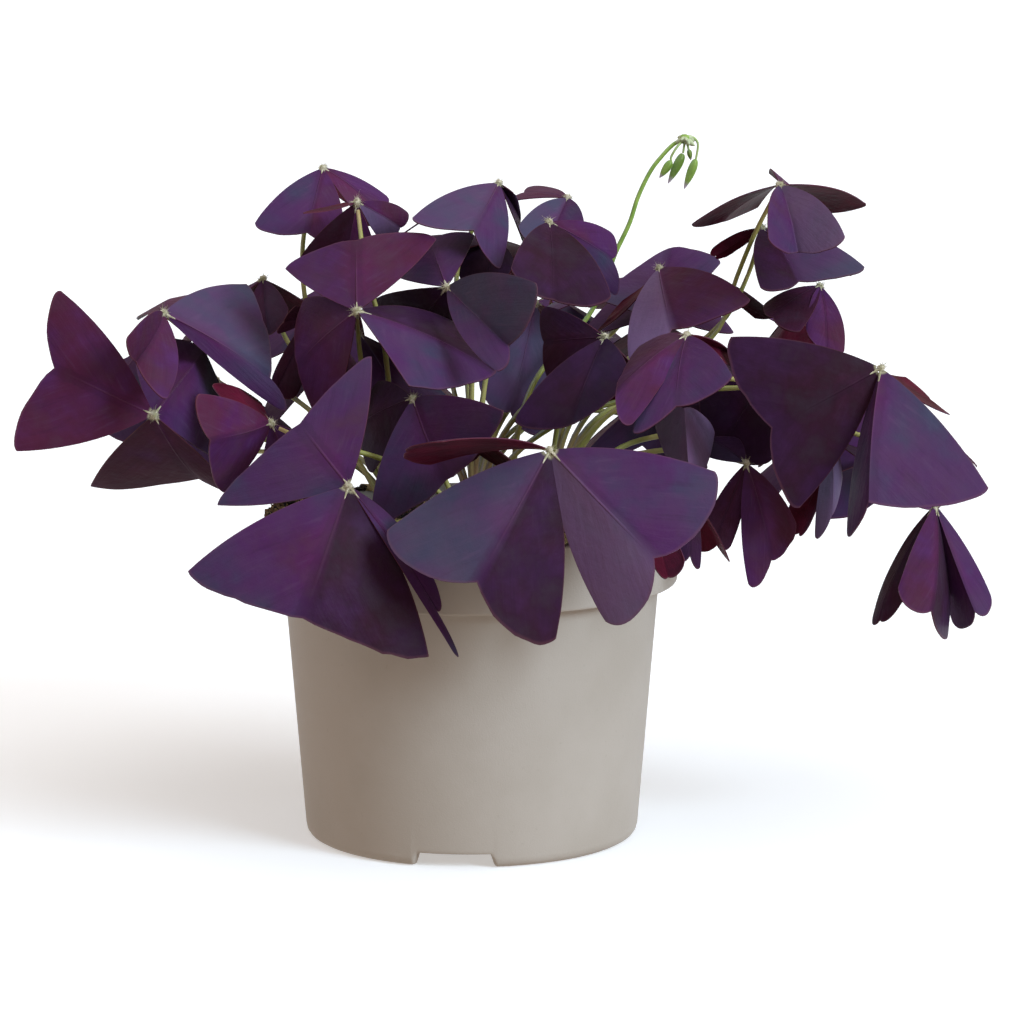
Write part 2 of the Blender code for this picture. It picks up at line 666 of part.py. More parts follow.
def clearance(path, hub, knuckles, blade_tree, others, crown):
    """Smallest room beside a stalk, below zero where it is too near the pot, soil, a blade or another stalk."""
    radius, height = np.hypot(path[:, 0], path[:, 1]), path[:, 2]
    in_wall = (radius > 0.0525) & (radius < RIM_RADIUS + 0.0018)
    if (in_wall & (height < POT_HEIGHT + 0.003)).any():
        return -0.01
    soil = np.interp(radius, [r for r, _ in SOIL_TOP], [z for _, z in SOIL_TOP])
    for number, (x, y) in enumerate(CROWNS):
        away = np.hypot(path[:, 0] - x, path[:, 1] - y)
        if number == crown:
            low = (away > CROWN_RADIUS - STEM_RADIUS - CLEAR) & (radius < 0.0575) & (height < soil + STEM_RADIUS + 2 * CLEAR)
        else:
            low = (away < CROWN_RADIUS + STEM_RADIUS + CLEAR) & (height < soil + CROWN_STAND + STEM_RADIUS + CLEAR)
        if low.any():
            return -0.009
    room = np.linalg.norm(path[:, None] - knuckles[None], axis=-1).min() - HUB_RADIUS - STEM_RADIUS - CLEAR
    if room < -0.0008:
        return room
    near = np.linalg.norm(path - hub, axis=1) < 0.003
    for spot, close in zip(path, near):
        distance = blade_tree.find_nearest(Vector(spot))[3]
        need = (STALK_TIP if close else STEM_RADIUS) + BLADE / 2 + CLEAR + 0.0002
        room = min(room, distance - need)
        if room < -0.0008:
            return room
    for number, spots in others:
        if number != crown:
            gap = np.linalg.norm(path[:, None] - spots[None], axis=-1).min() - 2 * STEM_RADIUS - CLEAR
            room = min(room, gap)
    return room


def material(name, colour, roughness):
    made = bpy.data.materials.new(name)
    made.use_nodes = True
    shader = made.node_tree.nodes["Principled BSDF"]
    shader.inputs["Base Color"].default_value = (*colour, 1)
    shader.inputs["Roughness"].default_value = roughness
    made.diffuse_color = (*colour, 1)
    return made


def put(mesh, name, group):
    made = bpy.data.objects.new(name, mesh)
    group.objects.link(made)
    return made


def mesh_from(name, fill):
    """A mesh filled in by a bmesh function."""
    mesh = bpy.data.meshes.new(name)
    work = bmesh.new()
    fill(work)
    work.to_mesh(mesh)
    work.free()
    return mesh


def applied(made):
    """Replaces an object's mesh by the one that its modifiers give."""
    bpy.context.view_layer.update()
    graph = bpy.context.evaluated_depsgraph_get()
    mesh = bpy.data.meshes.new_from_object(made.evaluated_get(graph))
    made.modifiers.clear()
    made.data = mesh
    mesh.name = made.name
    return made


def clear_out(group):
    for made in list(group.objects):
        bpy.data.objects.remove(made)


def boolean(made, operation, operand, solver="MANIFOLD"):
    """Applies a Boolean with a collection."""
    step = made.modifiers.new(operation.title(), "BOOLEAN")
    step.operation = operation
    step.operand_type = "COLLECTION"
    step.collection = operand
    step.solver = solver
    return applied(made)


def turned_solid(name, profile, group, steps=48):
    """A solid of revolution from a profile that starts and ends on the axis."""
    mesh = bpy.data.meshes.new(name)
    points = [(r, 0, z) for r, z in profile]
    mesh.from_pydata(points, [(k, k + 1) for k in range(len(points) - 1)], [])
    made = put(mesh, name, group)
    screw = made.modifiers.new("Screw", "SCREW")
    screw.steps = steps
    screw.render_steps = steps
    screw.use_merge_vertices = True
    screw.merge_threshold = 0.00001
    return applied(made)


def cylinder(name, centre, radius, low, high, sides, group, turn=0.0):
    def fill(work):
        bmesh.ops.create_cone(work, cap_ends=True, segments=sides, radius1=radius, radius2=radius, depth=high - low)
    made = put(mesh_from(name, fill), name, group)
    made.location = (centre[0], centre[1], (low + high) / 2)
    made.rotation_euler[2] = turn
    return made


def tube(name, path, radii, group, resolution=1):
    """A closed tube along a path."""
    curve = bpy.data.curves.new(name, "CURVE")
    curve.dimensions = "3D"
    curve.bevel_depth = 1.0
    curve.bevel_resolution = resolution
    curve.use_fill_caps = True
    line = curve.splines.new("POLY")
    line.points.add(len(path) - 1)
    for point, spot, radius in zip(line.points, path, radii):
        point.co = (*spot, 1)
        point.radius = radius
    guide = put(curve, name, group)
    bpy.context.view_layer.update()
    graph = bpy.context.evaluated_depsgraph_get()
    mesh = bpy.data.meshes.new_from_object(guide.evaluated_get(graph))
    bpy.data.objects.remove(guide)
    work = bmesh.new()
    work.from_mesh(mesh)
    bmesh.ops.remove_doubles(work, verts=work.verts, dist=0.00001)
    bmesh.ops.recalc_face_normals(work, faces=work.faces)
    work.to_mesh(mesh)
    work.free()
    return put(mesh, name, group)


def sphere(name, centre, radius, group, level=1, stretch=None):
    def fill(work):
        bmesh.ops.create_icosphere(work, subdivisions=level, radius=radius)
    made = put(mesh_from(name, fill), name, group)
    made.location = centre
    if stretch is not None:
        way, factor = stretch
        made.rotation_mode = "QUATERNION"
        made.rotation_quaternion = Vector(way).to_track_quat("Z", "Y")
        made.scale = (1, 1, factor)
    return made


def blade_object(name, leaflet, hub, edge, group):
    """One leaflet, as a grid carried onto its surface, split into triangles and given its thickness."""
    grid = blade(leaflet, hub, edge)
    rows, columns = grid.shape[:2]

    def fill(work):
        bmesh.ops.create_grid(work, x_segments=columns - 1, y_segments=rows - 1, size=1)
        for vertex in work.verts:
            column = round((vertex.co.x + 1) / 2 * (columns - 1))
            row = round((vertex.co.y + 1) / 2 * (rows - 1))
            vertex.co = grid[row, column]
        bmesh.ops.triangulate(work, faces=work.faces)
        bmesh.ops.recalc_face_normals(work, faces=work.faces)
    made = put(mesh_from(name, fill), name, group)
    solid = made.modifiers.new("Solidify", "SOLIDIFY")
    solid.thickness = BLADE
    solid.offset = 0
    return applied(made)


def leaf_object(name, leaf, parts, work):
    """A leaf: three blades joined at a knuckle."""
    hub, edge, leaflets = leaf
    for number, leaflet in enumerate(leaflets):
        blade_object(f"blade {number}", leaflet, hub, edge, work)
    made = sphere(f"leaf_{name.lower()}", hub, HUB_RADIUS, parts)
    boolean(made, "UNION", work)
    clear_out(work)
    made.data.materials.clear()
    made.data.materials.append(material(made.name, (0.075, 0.022, 0.085), 0.5))
    return made


def stalks_object(number, paths, parts, work):
    """The stalks of one crown, joined at its root."""
    x, y = CROWNS[number]
    top = ground(x, y)
    for order, path in enumerate(paths):
        radii = np.full(len(path), STEM_RADIUS)
        radii[-1] = STALK_TIP
        tube(f"stalk {order}", path, radii, work, 0)
    made = cylinder(f"stalks_{number}", (x, y), CROWN_RADIUS, top - CROWN_DEPTH + 0.0003, top + CROWN_STAND, 12, parts)
    boolean(made, "UNION", work)
    clear_out(work)
    made.data.materials.append(material(made.name, (0.32, 0.30, 0.09), 0.55))
    return made


def scape_object(parts, work):
    """The flower stalk with its nodding buds."""
    path = scape_path()
    head = path[-1]
    for number, spots in enumerate(PEDICELS):
        line = np.array([seen_at(spot, SCAPE_DEPTH) + np.array([0, 0.0015 * (number - 1.5) * min(k, 1), 0])
                         for k, spot in enumerate(spots)])
        tube(f"pedicel {number}", line, np.full(len(line), PEDICEL_RADIUS), work)
    for number, (high, low, radius) in enumerate(BUDS):
        shove = np.array([0, 0.0015 * (number - 1.5), 0])
        a, b = seen_at(high, SCAPE_DEPTH) + shove, seen_at(low, SCAPE_DEPTH) + shove
        half = np.linalg.norm(b - a) / 2
        sphere(f"bud {number}", (a + b) / 2, radius, work, 2 if radius > 0.0012 else 1, (unit(b - a), half / radius * 1.1))
    tube("stalk", path, np.full(len(path), SCAPE_RADIUS), work)
    made = sphere("flower_stalk", head, SCAPE_RADIUS * 1.5, parts)
    boolean(made, "UNION", work)
    clear_out(work)
    made.data.materials.append(material("flower_stalk", (0.20, 0.34, 0.07), 0.5))
    return made


def pot_object(parts, cutters):
    inner = POT_WALL
    step = POT_HEIGHT - COLLAR_HEIGHT
    floor = FLOOR_LIFT + inner
    profile = [
        (0.0, floor),
        (BODY_FOOT_RADIUS - inner - 0.0005, floor),
        (BODY_TOP_RADIUS - inner, step + 0.0005),
        (RIM_RADIUS - inner, step + 0.0035),
        (RIM_RADIUS - inner + 0.0002, POT_HEIGHT),
        (RIM_RADIUS - 0.0006, POT_HEIGHT),
        (RIM_RADIUS, POT_HEIGHT - 0.0007),
        (RIM_RADIUS, step + 0.0006),
        (RIM_RADIUS - 0.0006, step),
        (BODY_TOP_RADIUS, step),
        (BODY_FOOT_RADIUS + 0.0003, FOOT_ROUNDING),
        (BODY_FOOT_RADIUS - 0.0004, 0.0012),
        (BODY_FOOT_RADIUS - 0.0014, 0.0),
        (BODY_FOOT_RADIUS - 0.0014 - FOOT_RING_WIDTH + 0.001, 0.0),
        (BODY_FOOT_RADIUS - 0.0014 - FOOT_RING_WIDTH + 0.001, FLOOR_LIFT),
        (0.0, FLOOR_LIFT),
    ]
    made = turned_solid("pot", profile, parts)
    for number, turn in enumerate(NOTCH_TURNS):
        mesh = mesh_from(f"notch {number}", lambda work: bmesh.ops.create_cube(work, size=1))
        box = put(mesh, f"notch {number}", cutters)
        box.scale = (0.012, NOTCH_WIDTH, 2 * NOTCH_HEIGHT)
        angle = math.radians(turn)
        box.location = (BODY_FOOT_RADIUS * math.cos(angle), BODY_FOOT_RADIUS * math.sin(angle), 0)
        box.rotation_euler[2] = angle
    for number in range(6):
        angle = math.radians(60 * number + 24.3)
        centre = (DRAIN_RING * math.cos(angle), DRAIN_RING * math.sin(angle))
        cylinder(f"drain {number}", centre, DRAIN_RADIUS, 0.0, 0.012, 12, cutters)
    boolean(made, "DIFFERENCE", cutters)
    clear_out(cutters)
    made.data.materials.append(material("pot", (0.40, 0.36, 0.32), 0.55))
    return made


def soil_object(parts, cutters):
    inner = POT_WALL + SOIL_GAP
    step = POT_HEIGHT - COLLAR_HEIGHT
    low = FLOOR_LIFT + POT_WALL + SOIL_GAP
    profile = SOIL_TOP[:-1] + [
        (RIM_RADIUS - inner, SOIL_EDGE),
        (RIM_RADIUS - inner, step + 0.0039),
        (BODY_TOP_RADIUS - inner, step + 0.0008),
        (BODY_FOOT_RADIUS - inner - 0.0005, low),
        (0.0, low),
    ]
    made = turned_solid("soil", profile, parts)
    for number, (x, y) in enumerate(CROWNS):
        low = ground(x, y) - CROWN_DEPTH
        cylinder(f"hole {number}", (x, y), CROWN_RADIUS + 0.0004, low, low + 0.03, 12, cutters)
    x, y = SCAPE_FOOT
    low = ground(x, y) - CROWN_DEPTH
    cylinder("hole for the flower stalk", (x, y), SCAPE_RADIUS + 0.0005, low, low + 0.03, 12, cutters)
    boolean(made, "DIFFERENCE", cutters)
    clear_out(cutters)
    made.data.materials.append(material("soil", (0.055, 0.035, 0.02), 0.9))
    return made


def centre_on_box(parts):
    """Moves everything sideways, so that the middle of the whole object's box is over the origin."""
    bpy.context.view_layer.update()
    corners = np.array([made.matrix_world @ vertex.co for made in parts.objects for vertex in made.data.vertices])
    middle = (corners.min(axis=0) + corners.max(axis=0)) / 2
    for made in parts.objects:
        made.location.x -= middle[0]
        made.location.y -= middle[1]
    bpy.context.view_layer.update()


def main():
    for old in list(bpy.data.objects):
        bpy.data.objects.remove(old)
    parts = bpy.data.collections.new("Purple shamrock")
    work = bpy.data.collections.new("Cutters and pieces")
    for group in (parts, work):
        bpy.context.scene.collection.children.link(group)
    work.hide_render = True
    pot_object(parts, work)
    soil_object(parts, work)
    scape_object(parts, work)
    leaves = settle()
    for name, leaf in leaves.items():
        leaf_object(name, leaf, parts, work)
    stalks = run_stalks(leaves)
    for number in range(len(CROWNS)):
        paths = [path for crown, path in stalks.values() if crown == number]
        if paths:
            stalks_object(number, paths, parts, work)
    centre_on_box(parts)


if __name__ == "__main__":
    main()
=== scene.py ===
# %% [markdown]
# # A purple shamrock in its grower's pot
# The real object is a house plant: long bare stalks rise in tufts from the soil, and each ends
# in one leaf of three notched, folded, dark purple leaflets. One green flower stalk nods above.
# The script dresses a fixed frame of plain solids, so every piece below is made in the frame's
# own metres and takes its place from the frame.

# %% Load the frame
import json
import math

import bpy
import numpy as np
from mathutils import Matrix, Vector

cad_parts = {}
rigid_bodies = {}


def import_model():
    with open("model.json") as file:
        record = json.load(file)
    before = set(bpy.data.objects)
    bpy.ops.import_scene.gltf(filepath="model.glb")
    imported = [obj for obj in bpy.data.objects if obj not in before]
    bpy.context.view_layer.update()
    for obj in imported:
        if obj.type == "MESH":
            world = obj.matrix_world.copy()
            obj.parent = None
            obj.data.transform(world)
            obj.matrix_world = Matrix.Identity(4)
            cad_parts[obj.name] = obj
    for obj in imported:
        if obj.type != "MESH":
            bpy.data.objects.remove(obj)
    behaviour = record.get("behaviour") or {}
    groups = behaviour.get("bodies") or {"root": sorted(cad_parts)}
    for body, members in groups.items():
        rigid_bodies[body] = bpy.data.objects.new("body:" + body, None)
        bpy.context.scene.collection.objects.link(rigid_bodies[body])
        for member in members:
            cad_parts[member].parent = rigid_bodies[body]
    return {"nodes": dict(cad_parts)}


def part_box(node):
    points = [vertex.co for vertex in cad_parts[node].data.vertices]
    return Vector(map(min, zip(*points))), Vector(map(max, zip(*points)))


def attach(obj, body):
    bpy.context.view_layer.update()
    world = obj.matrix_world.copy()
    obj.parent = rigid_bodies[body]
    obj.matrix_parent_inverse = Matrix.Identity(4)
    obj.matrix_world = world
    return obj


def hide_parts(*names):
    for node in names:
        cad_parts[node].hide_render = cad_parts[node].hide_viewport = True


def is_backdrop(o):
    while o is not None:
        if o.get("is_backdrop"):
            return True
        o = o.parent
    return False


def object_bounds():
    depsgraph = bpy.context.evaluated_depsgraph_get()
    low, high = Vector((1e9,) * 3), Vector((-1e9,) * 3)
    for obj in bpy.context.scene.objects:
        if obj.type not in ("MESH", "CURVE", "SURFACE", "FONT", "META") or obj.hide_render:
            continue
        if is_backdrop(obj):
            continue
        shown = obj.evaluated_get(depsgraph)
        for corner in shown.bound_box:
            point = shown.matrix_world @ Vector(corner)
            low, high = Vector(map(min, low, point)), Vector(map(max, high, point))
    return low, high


for old in list(bpy.data.objects):
    bpy.data.objects.remove(old)
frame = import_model()
CAD_LOW, CAD_HIGH = (np.array(corner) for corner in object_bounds())
print("frame of", len(frame["nodes"]), "solids,", np.round((CAD_HIGH - CAD_LOW) * 1000, 1), "mm")

# %% [markdown]
# The pot stands a little off the middle of the whole plant. All shapes are worked out round the
# pot's own axis, which is easier to think about, and are carried over by one sideways step.

# %% The step from the pot's axis to the frame
POT_LOW, POT_HIGH = (np.array(corner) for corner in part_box("pot"))
SHIFT = (POT_LOW + POT_HIGH) / 2 * [1, 1, 0]
print("pot axis at", np.round(SHIFT * 1000, 2), "mm")

# %% [markdown]
# The camera is a long lens a good metre away, looking slightly down. A long lens keeps the pot's
# sides nearly parallel. Its numbers come first, because the leaves that show from the front are
# placed on lines of sight from this same eye.

# %% The eye and the lens
EYE = np.array([0.0118, -1.251, 0.303])
TILT = math.radians(9.45)
FOCAL = 4352.0
MIDDLE = 512.0
AHEAD = np.array([0.0, math.cos(TILT), -math.sin(TILT)])
UPWARD = np.array([0.0, math.sin(TILT), math.cos(TILT)])
RIGHT = np.array([1.0, 0.0, 0.0])
camera = bpy.data.objects.new("Front view", bpy.data.cameras.new("Long lens"))
bpy.context.scene.collection.objects.link(camera)
camera.location = EYE + SHIFT
camera.rotation_euler = (math.pi / 2 - TILT, 0, 0)
camera.data.sensor_width = 36
camera.data.lens = FOCAL / 1024 * 36
camera.data.clip_end = 30
bpy.context.scene.camera = camera
print("lens", round(camera.data.lens), "mm")

# %% [markdown]
# These are the plant's measures. A common 12 cm pot sets the scale of everything.

# %% Pot and soil measures
RIM_RADIUS = 0.060
POT_HEIGHT = 0.094
COLLAR_HEIGHT = 0.0187
BODY_TOP_RADIUS = 0.0547
BODY_FOOT_RADIUS = 0.0485
POT_WALL = 0.0018
FLOOR_LIFT = 0.0042
FOOT_RING_WIDTH = 0.0036
NOTCH_WIDTH = 0.023
NOTCH_HEIGHT = 0.0042
NOTCH_EASE = 0.0022
NOTCH_REACH = 0.0075
FOOT_CURVE = 0.0033
PULL_BACK = 0.85
LEAST_TURN = 0.0012
NOTCH_TURNS = (-95.7, 24.3, 144.3)
DRAIN_RADIUS = 0.0035
DRAIN_RING = 0.028
DRAIN_COUNT = 6
DRAIN_TURN = 24.3
SOIL_EDGE = 0.088
SOIL_CROWN = 0.094
CROWN_RADIUS = 0.0050
CROWN_DEPTH = 0.012
CROWN_STAND = 0.0015
CROWN_SUNK = 0.006

# %% Leaf, stalk and crown measures
# The leaf's own numbers are shares of its edge length, and the stalk's lean one of its distance.
HUB_RADIUS = 0.0023
CLEAR = 0.0004
RIB_PART = 0.76
HALF_SPREAD = math.radians(34)
RIDGE = math.radians(10)
ROOT = 0.035
LOBE = 0.10
SIDE_BOW = 0.06
TIP_ROUNDING = 0.06
ARCH = 0.05
STALK_POINTS = 9
STALK_SUNK = 0.004
STALK_LEAN = 0.15
CROWN_RING = 0.026
RING_COUNT = 6
SCAPE_FOOT = (0.012, 0.012)
SCAPE_DEPTH = 0.030
SCAPE_STEP = 0.001

# %% [markdown]
# A leaflet in the front view is three points: a corner, the end of its midrib and the other
# corner. Each is a direction from the eye, and its reach from the hub or its depth fixes where
# on that line it lies.

# %% From the front view to space
def unit(vector):
    return vector / np.linalg.norm(vector)


def sight(spot):
    """Direction from the eye through a front-view position."""
    return unit(AHEAD * FOCAL + RIGHT * (spot[0] - MIDDLE) + UPWARD * (MIDDLE - spot[1]))


def seen_at(spot, depth):
    """The point at y = depth that shows at a front-view position."""
    line = sight(spot)
    return EYE + line * ((depth - EYE[1]) / line[1])


def reached(spot, hub, reach, side):
    """Offset from the hub of a point seen at a spot.

    It lies nearer or farther than the hub by what its reach leaves, level with it, or side mm behind.
    """
    line = sight(spot)
    foot = EYE + line * float((hub - EYE) @ line) - hub
    if side == "level":
        return foot
    if isinstance(side, (int, float)):
        return foot + line * (side / 1000 / line[1])
    deep = math.sqrt(max(0.0, reach ** 2 - float(foot @ foot)))
    return foot + line * (deep if side == "far" else -deep)


def seen(first, rib, last, *sides, under=False, full=0.8):
    """A leaflet drawn in the front view: one corner, the end of its midrib and the other corner.

    Full says how round its lobes are.
    """
    return {"spots": (first, rib, last), "sides": sides * (3 // len(sides)), "under": under, "full": full}


def spread(turn, droop, size=1.0):
    """A leaflet by compass turn and droop below the horizon in degrees, and its share of the edge length."""
    return {"angles": (math.radians(turn), math.radians(droop)), "size": size, "full": 0.9}


# %% [markdown]
# The table of leaves: where the hub shows, how deep it lies and how long the side edges are,
# both in millimetres, and the three leaflets. It is the plant's whole habit, so it is written
# out one by one. The plain solids were settled by a search, so that no two leaves touch, and its
# findings are part of the table: six depths, and the turn of each leaflet that doesn't show.

# %% Leaves from the front
LEAVES = {
    "A": ((154, 415), -25, 46, [
        seen((58, 287), (54, 368), (14, 452), "level"),
        seen((89, 487), (199, 479), (236, 492), "far", full=0.5),
        seen((136, 340), (205, 350), (238, 470), "far")]),
    "B": ((163, 313), -5, 44, [
        seen((127, 337), (136, 362), (167, 400), "near"),
        seen((248, 284), (270, 378), (282, 412), "far", "level", "level"),
        seen((137, 320), (175, 300), (215, 292), "far")]),
    "C": ((271, 423), -35, 34, [
        seen((197, 393), (210, 440), (222, 494), -25, -20, 0),
        seen((211, 386), (236, 388), (262, 404), 20, 24, 30, under=True),
        seen((262, 498), (300, 490), (332, 452), 18)]),
    "D": ((323, 168), 38, 36, [
        seen((253, 225), (307, 233), (345, 238), -15),
        seen((388, 196), (375, 208), (366, 225), 5, -5, -10),
        seen((350, 205), (360, 200), (372, 192), 20, 26, 28, under=True)]),
    "E": ((357, 202), 10, 36, [
        seen((303, 214), (320, 208), (345, 203), -8, 0, 10, under=True),
        seen((297, 262), (340, 295), (382, 290), 15),
        seen((408, 212), (400, 228), (380, 240), 25, 20, 15)]),
    "F": ((499, 183), 30, 46, [
        seen((410, 219), (473, 231), (500, 270), -30, -25, -30),
        seen((516, 196), (520, 222), (524, 245), 5, 18, 15),
        spread(144, 35, 0.78)]),
    "FF": ((500, 240), 62, 36, [
        seen((455, 258), (476, 300), (528, 302), -5, -10, -8),
        spread(96, 25),
        spread(192, 8)]),
    "G": ((568, 198), 50, 42, [
        seen((513, 202), (524, 193), (536, 186), 0, 10, 25),
        seen((518, 226), (545, 250), (585, 235), -20),
        spread(24, 82, 0.78)]),
    "H": ((357, 311), -20, 46, [
        seen((284, 268), (357, 241), (439, 238), 20, 15, 18),
        seen((303, 298), (298, 365), (330, 430), 25, 15, 10),
        seen((456, 322), (495, 373), (410, 388), 20, 0, -20)]),
    "I": ((447, 287), -8, 46, [
        seen((538, 283), (509, 346), (496, 373), -37, -30, -36),
        seen((395, 276), (430, 240), (475, 235), 25),
        seen((372, 300), (405, 345), (455, 355), 35, 35, 30)]),
    "J": ((549, 222), 6, 46, [
        seen((510, 270), (553, 300), (612, 298), -26),
        seen((612, 232), (612, 259), (614, 296), 22, 18, 22),
        spread(144, 70, 0.6)]),
    "K": ((659, 268), 38, 46, [
        seen((628, 360), (672, 330), (752, 300), "near"),
        seen((598, 331), (606, 320), (622, 300), 20, under=True),
        seen((769, 308), (755, 316), (735, 300), 15, 20, 25, under=True)]),
    "L": ((655, 320), 60, 46, [
        seen((598, 300), (668, 250), (722, 262), 0, 20, 15),
        spread(312, 45),
        spread(96, 45)]),
    "M": ((687, 335), -40, 44, [
        seen((638, 348), (617, 392), (630, 428), 18, -15, -22),
        seen((632, 433), (676, 406), (733, 376), -20),
        seen((718, 342), (728, 352), (735, 368), 10, 18, 15, under=True)]),
    "N": ((780, 185), 15, 40, [
        seen((691, 225), (722, 222), (757, 207), 10, 20, 30, under=True),
        seen((768, 240), (798, 252), (847, 237), "near"),
        seen((769, 172), (815, 212), (868, 205), 30, 28, 25, under=True)]),
    "NN": ((762, 228), 34, 40, [
        seen((714, 247), (716, 256), (726, 257), 10, under=True),
        seen((760, 289), (799, 281), (867, 268), "near"),
        spread(48, 35, 0.78)]),
    "O": ((881, 368), -30, 47, [
        seen((727, 336), (771, 428), (798, 510), 0, -6, 0),
        seen((846, 534), (869, 502), (990, 490), 0, -14, 0),
        seen((950, 415), (930, 400), (905, 378), 15, 25, 28, under=True)]),
    "P": ((605, 337), 0, 46, [
        seen((545, 306), (545, 342), (553, 385), 20, 18, 15),
        seen((514, 420), (570, 425), (632, 378), -12),
        spread(48, 70, 0.6)]),
    "Q": ((820, 286), 35, 40, [
        seen((806, 330), (826, 350), (845, 350), -22, -25, -22),
        seen((765, 304), (773, 318), (800, 332), -10, -20, -25),
        spread(144, 60, 0.78)]),
    "R": ((746, 463), -11, 40, [
        seen((706, 522), (716, 535), (730, 548), -5),
        seen((748, 588), (771, 560), (797, 525), -10, -8, 5),
        seen((700, 455), (712, 440), (738, 438), 15)]),
    "S": ((832, 440), 10, 40, [
        seen((815, 538), (832, 515), (842, 478), -10, -10, 0),
        seen((786, 515), (799, 533), (812, 520), 0, under=True),
        spread(0, 35, 0.78)]),
    "T": ((935, 505), 0, 40, [
        seen((875, 610), (880, 620), (905, 600), 10, 5, 0),
        seen((897, 590), (931, 613), (948, 636), -22, -20, 0),
        seen((953, 624), (975, 612), (992, 598), 5, -5, 0)]),
    "U": ((413, 398), -36, 45, [
        seen((505, 411), (447, 480), (370, 525), -25, -8, 0),
        seen((378, 381), (360, 425), (373, 474), 25, 22, 20),
        spread(48, 45)]),
    "V": ((550, 450), -72, 51, [
        seen((384, 532), (477, 582), (556, 643), 0, -12, 0, full=1.2),
        seen((607, 625), (654, 558), (718, 472), 0, -10, 0, full=1.3),
        seen((428, 463), (408, 453), (440, 442), 22, 0, -20, under=True)]),
    "W": ((349, 486), -65, 51, [
        seen((214, 506), (300, 424), (372, 354), 15, 12, 15, full=0.5),
        seen((183, 574), (303, 618), (431, 661), 0, -10, 0, full=0.4),
        seen((431, 573), (436, 610), (455, 655), 2, 0, -1)]),
    "X": ((772, 366), 2, 36, [
        seen((699, 396), (720, 452), (772, 462), 10, 12, 6),
        spread(336, 25),
        spread(72, 25)]),
    "Y": ((690, 495), -28, 38, [
        seen((655, 425), (684, 408), (715, 432), "far"),
        seen((672, 560), (690, 556), (700, 567), -20),
        spread(24, 70, 0.6)]),
    "Z": ((648, 500), -42, 38, [
        seen((652, 562), (668, 577), (685, 560), -10, under=True),
        spread(120, 8),
        spread(216, 8)]),
    "AA": ((535, 302), 44, 46, [
        seen((478, 383), (510, 412), (545, 432), -20),
        spread(72, 45),
        spread(168, 35, 0.78)]),
    "CC": ((263, 279), 37, 36, [
        seen((247, 325), (268, 335), (289, 310), -10),
        spread(72, 45),
        spread(168, 45)]),
    "DD": ((314, 312), 10, 36, [
        seen((273, 375), (277, 388), (297, 396), -5),
        seen((278, 334), (284, 322), (296, 306), -5),
        spread(0, 65)]),
}
print(len(LEAVES), "leaves from the front")

# %% Leaves behind
# For each leaf: a place in millimetres, the edge, how far the search slid it away from the eye
# and sank it, the compass turn of its first leaflet and the droop of all three.
BEHIND = {
    "B1": ((-98, 34, 138), 42, 8, 0, 0, 45),
    "B10": ((118, 34, 128), 42, 16, 0, 30, 45),
    "B11": ((62, 40, 128), 38, 8, 0, 0, 45),
    "B3": ((-42, 74, 172), 42, 16, 18, 0, 45),
    "B9": ((112, 78, 118), 42, 16, 9, 60, 45),
    "B7": ((56, 82, 164), 42, 16, 9, 30, 25),
    "B2": ((-80, 86, 140), 42, 8, 18, 0, 45),
    "B4": ((-36, 98, 144), 44, 0, 9, 60, 45),
    "B6": ((24, 108, 146), 44, 16, 0, 90, 45),
}
print(len(BEHIND), "leaves behind")
# %% [markdown]
# One formula gives every leaflet. A real leaflet is a notched triangle folded along its midrib,
# with bowed sides and a slight arch, and the formula has one term for each of these.

# %% The leaflet's surface
def placed(leaflet, hub, edge):
    """A leaflet's first corner, rib end and last corner as offsets from the hub, and its upward normal."""
    if "spots" in leaflet:
        reaches = (edge, RIB_PART * edge, edge)
        first, rib, last = (reached(spot, hub, reach, side)
                            for spot, reach, side in zip(leaflet["spots"], reaches, leaflet["sides"]))
        top = unit(np.cross(first, rib)) + unit(np.cross(rib, last))
        to_eye = EYE - hub - rib / 2
        if (top @ to_eye < 0) != leaflet["under"]:
            top = -top
        return first, rib, last, unit(top)
    turn, droop = leaflet["angles"]
    edge = edge * leaflet["size"]
    middle = np.array([math.cos(turn) * math.cos(droop), math.sin(turn) * math.cos(droop), -math.sin(droop)])
    across = np.array([-math.sin(turn), math.cos(turn), 0.0])
    top = np.cross(middle, across)
    first, last = (edge * (math.cos(HALF_SPREAD) * middle + side * math.sin(HALF_SPREAD) * across)
                   for side in (-1, 1))
    rib = RIB_PART * edge * (math.cos(RIDGE) * middle + math.sin(RIDGE) * top)
    return first, rib, last, top


def outward(corner, rib):
    """Direction in the half blade that is square to the side edge and points away from the rib."""
    away = corner - rib
    away = away - corner * float(away @ corner) / float(corner @ corner)
    return away / max(np.linalg.norm(away), 0.15 * np.linalg.norm(corner))


def surface(leaflet, hub, edge, across, along):
    """Grid of points of one leaflet.

    Across runs from -1 at the first side edge through 0 at the midrib to 1 at the last one, and
    along from 0 at the hub to 1 at the rim. The rim is the straight line from rib end to corner,
    pushed out into a lobe; side edges bow outwards and the blade is arched upwards.
    """
    first, rib, last, top = placed(leaflet, hub, edge)
    across = np.asarray(across, float)[:, None]
    share = np.abs(across)
    corner = np.where(across < 0, first, last)
    beside = np.where(across < 0, outward(first, rib), outward(last, rib))
    lobe = 1 + LOBE * leaflet["full"] * np.sin(math.pi * share ** 0.85)
    lobe = lobe + TIP_ROUNDING * (0.6 * share ** 2 - share ** 9)
    rim = (rib + (corner - rib) * share) * lobe
    along = np.asarray(along, float)[:, None, None]
    hump = 4 * along * (1 - along)
    bow = SIDE_BOW * np.linalg.norm(corner, axis=1)[:, None] * share ** 2 * beside
    return hub + along * rim + hump * (bow + ARCH * np.linalg.norm(rib) * top), top


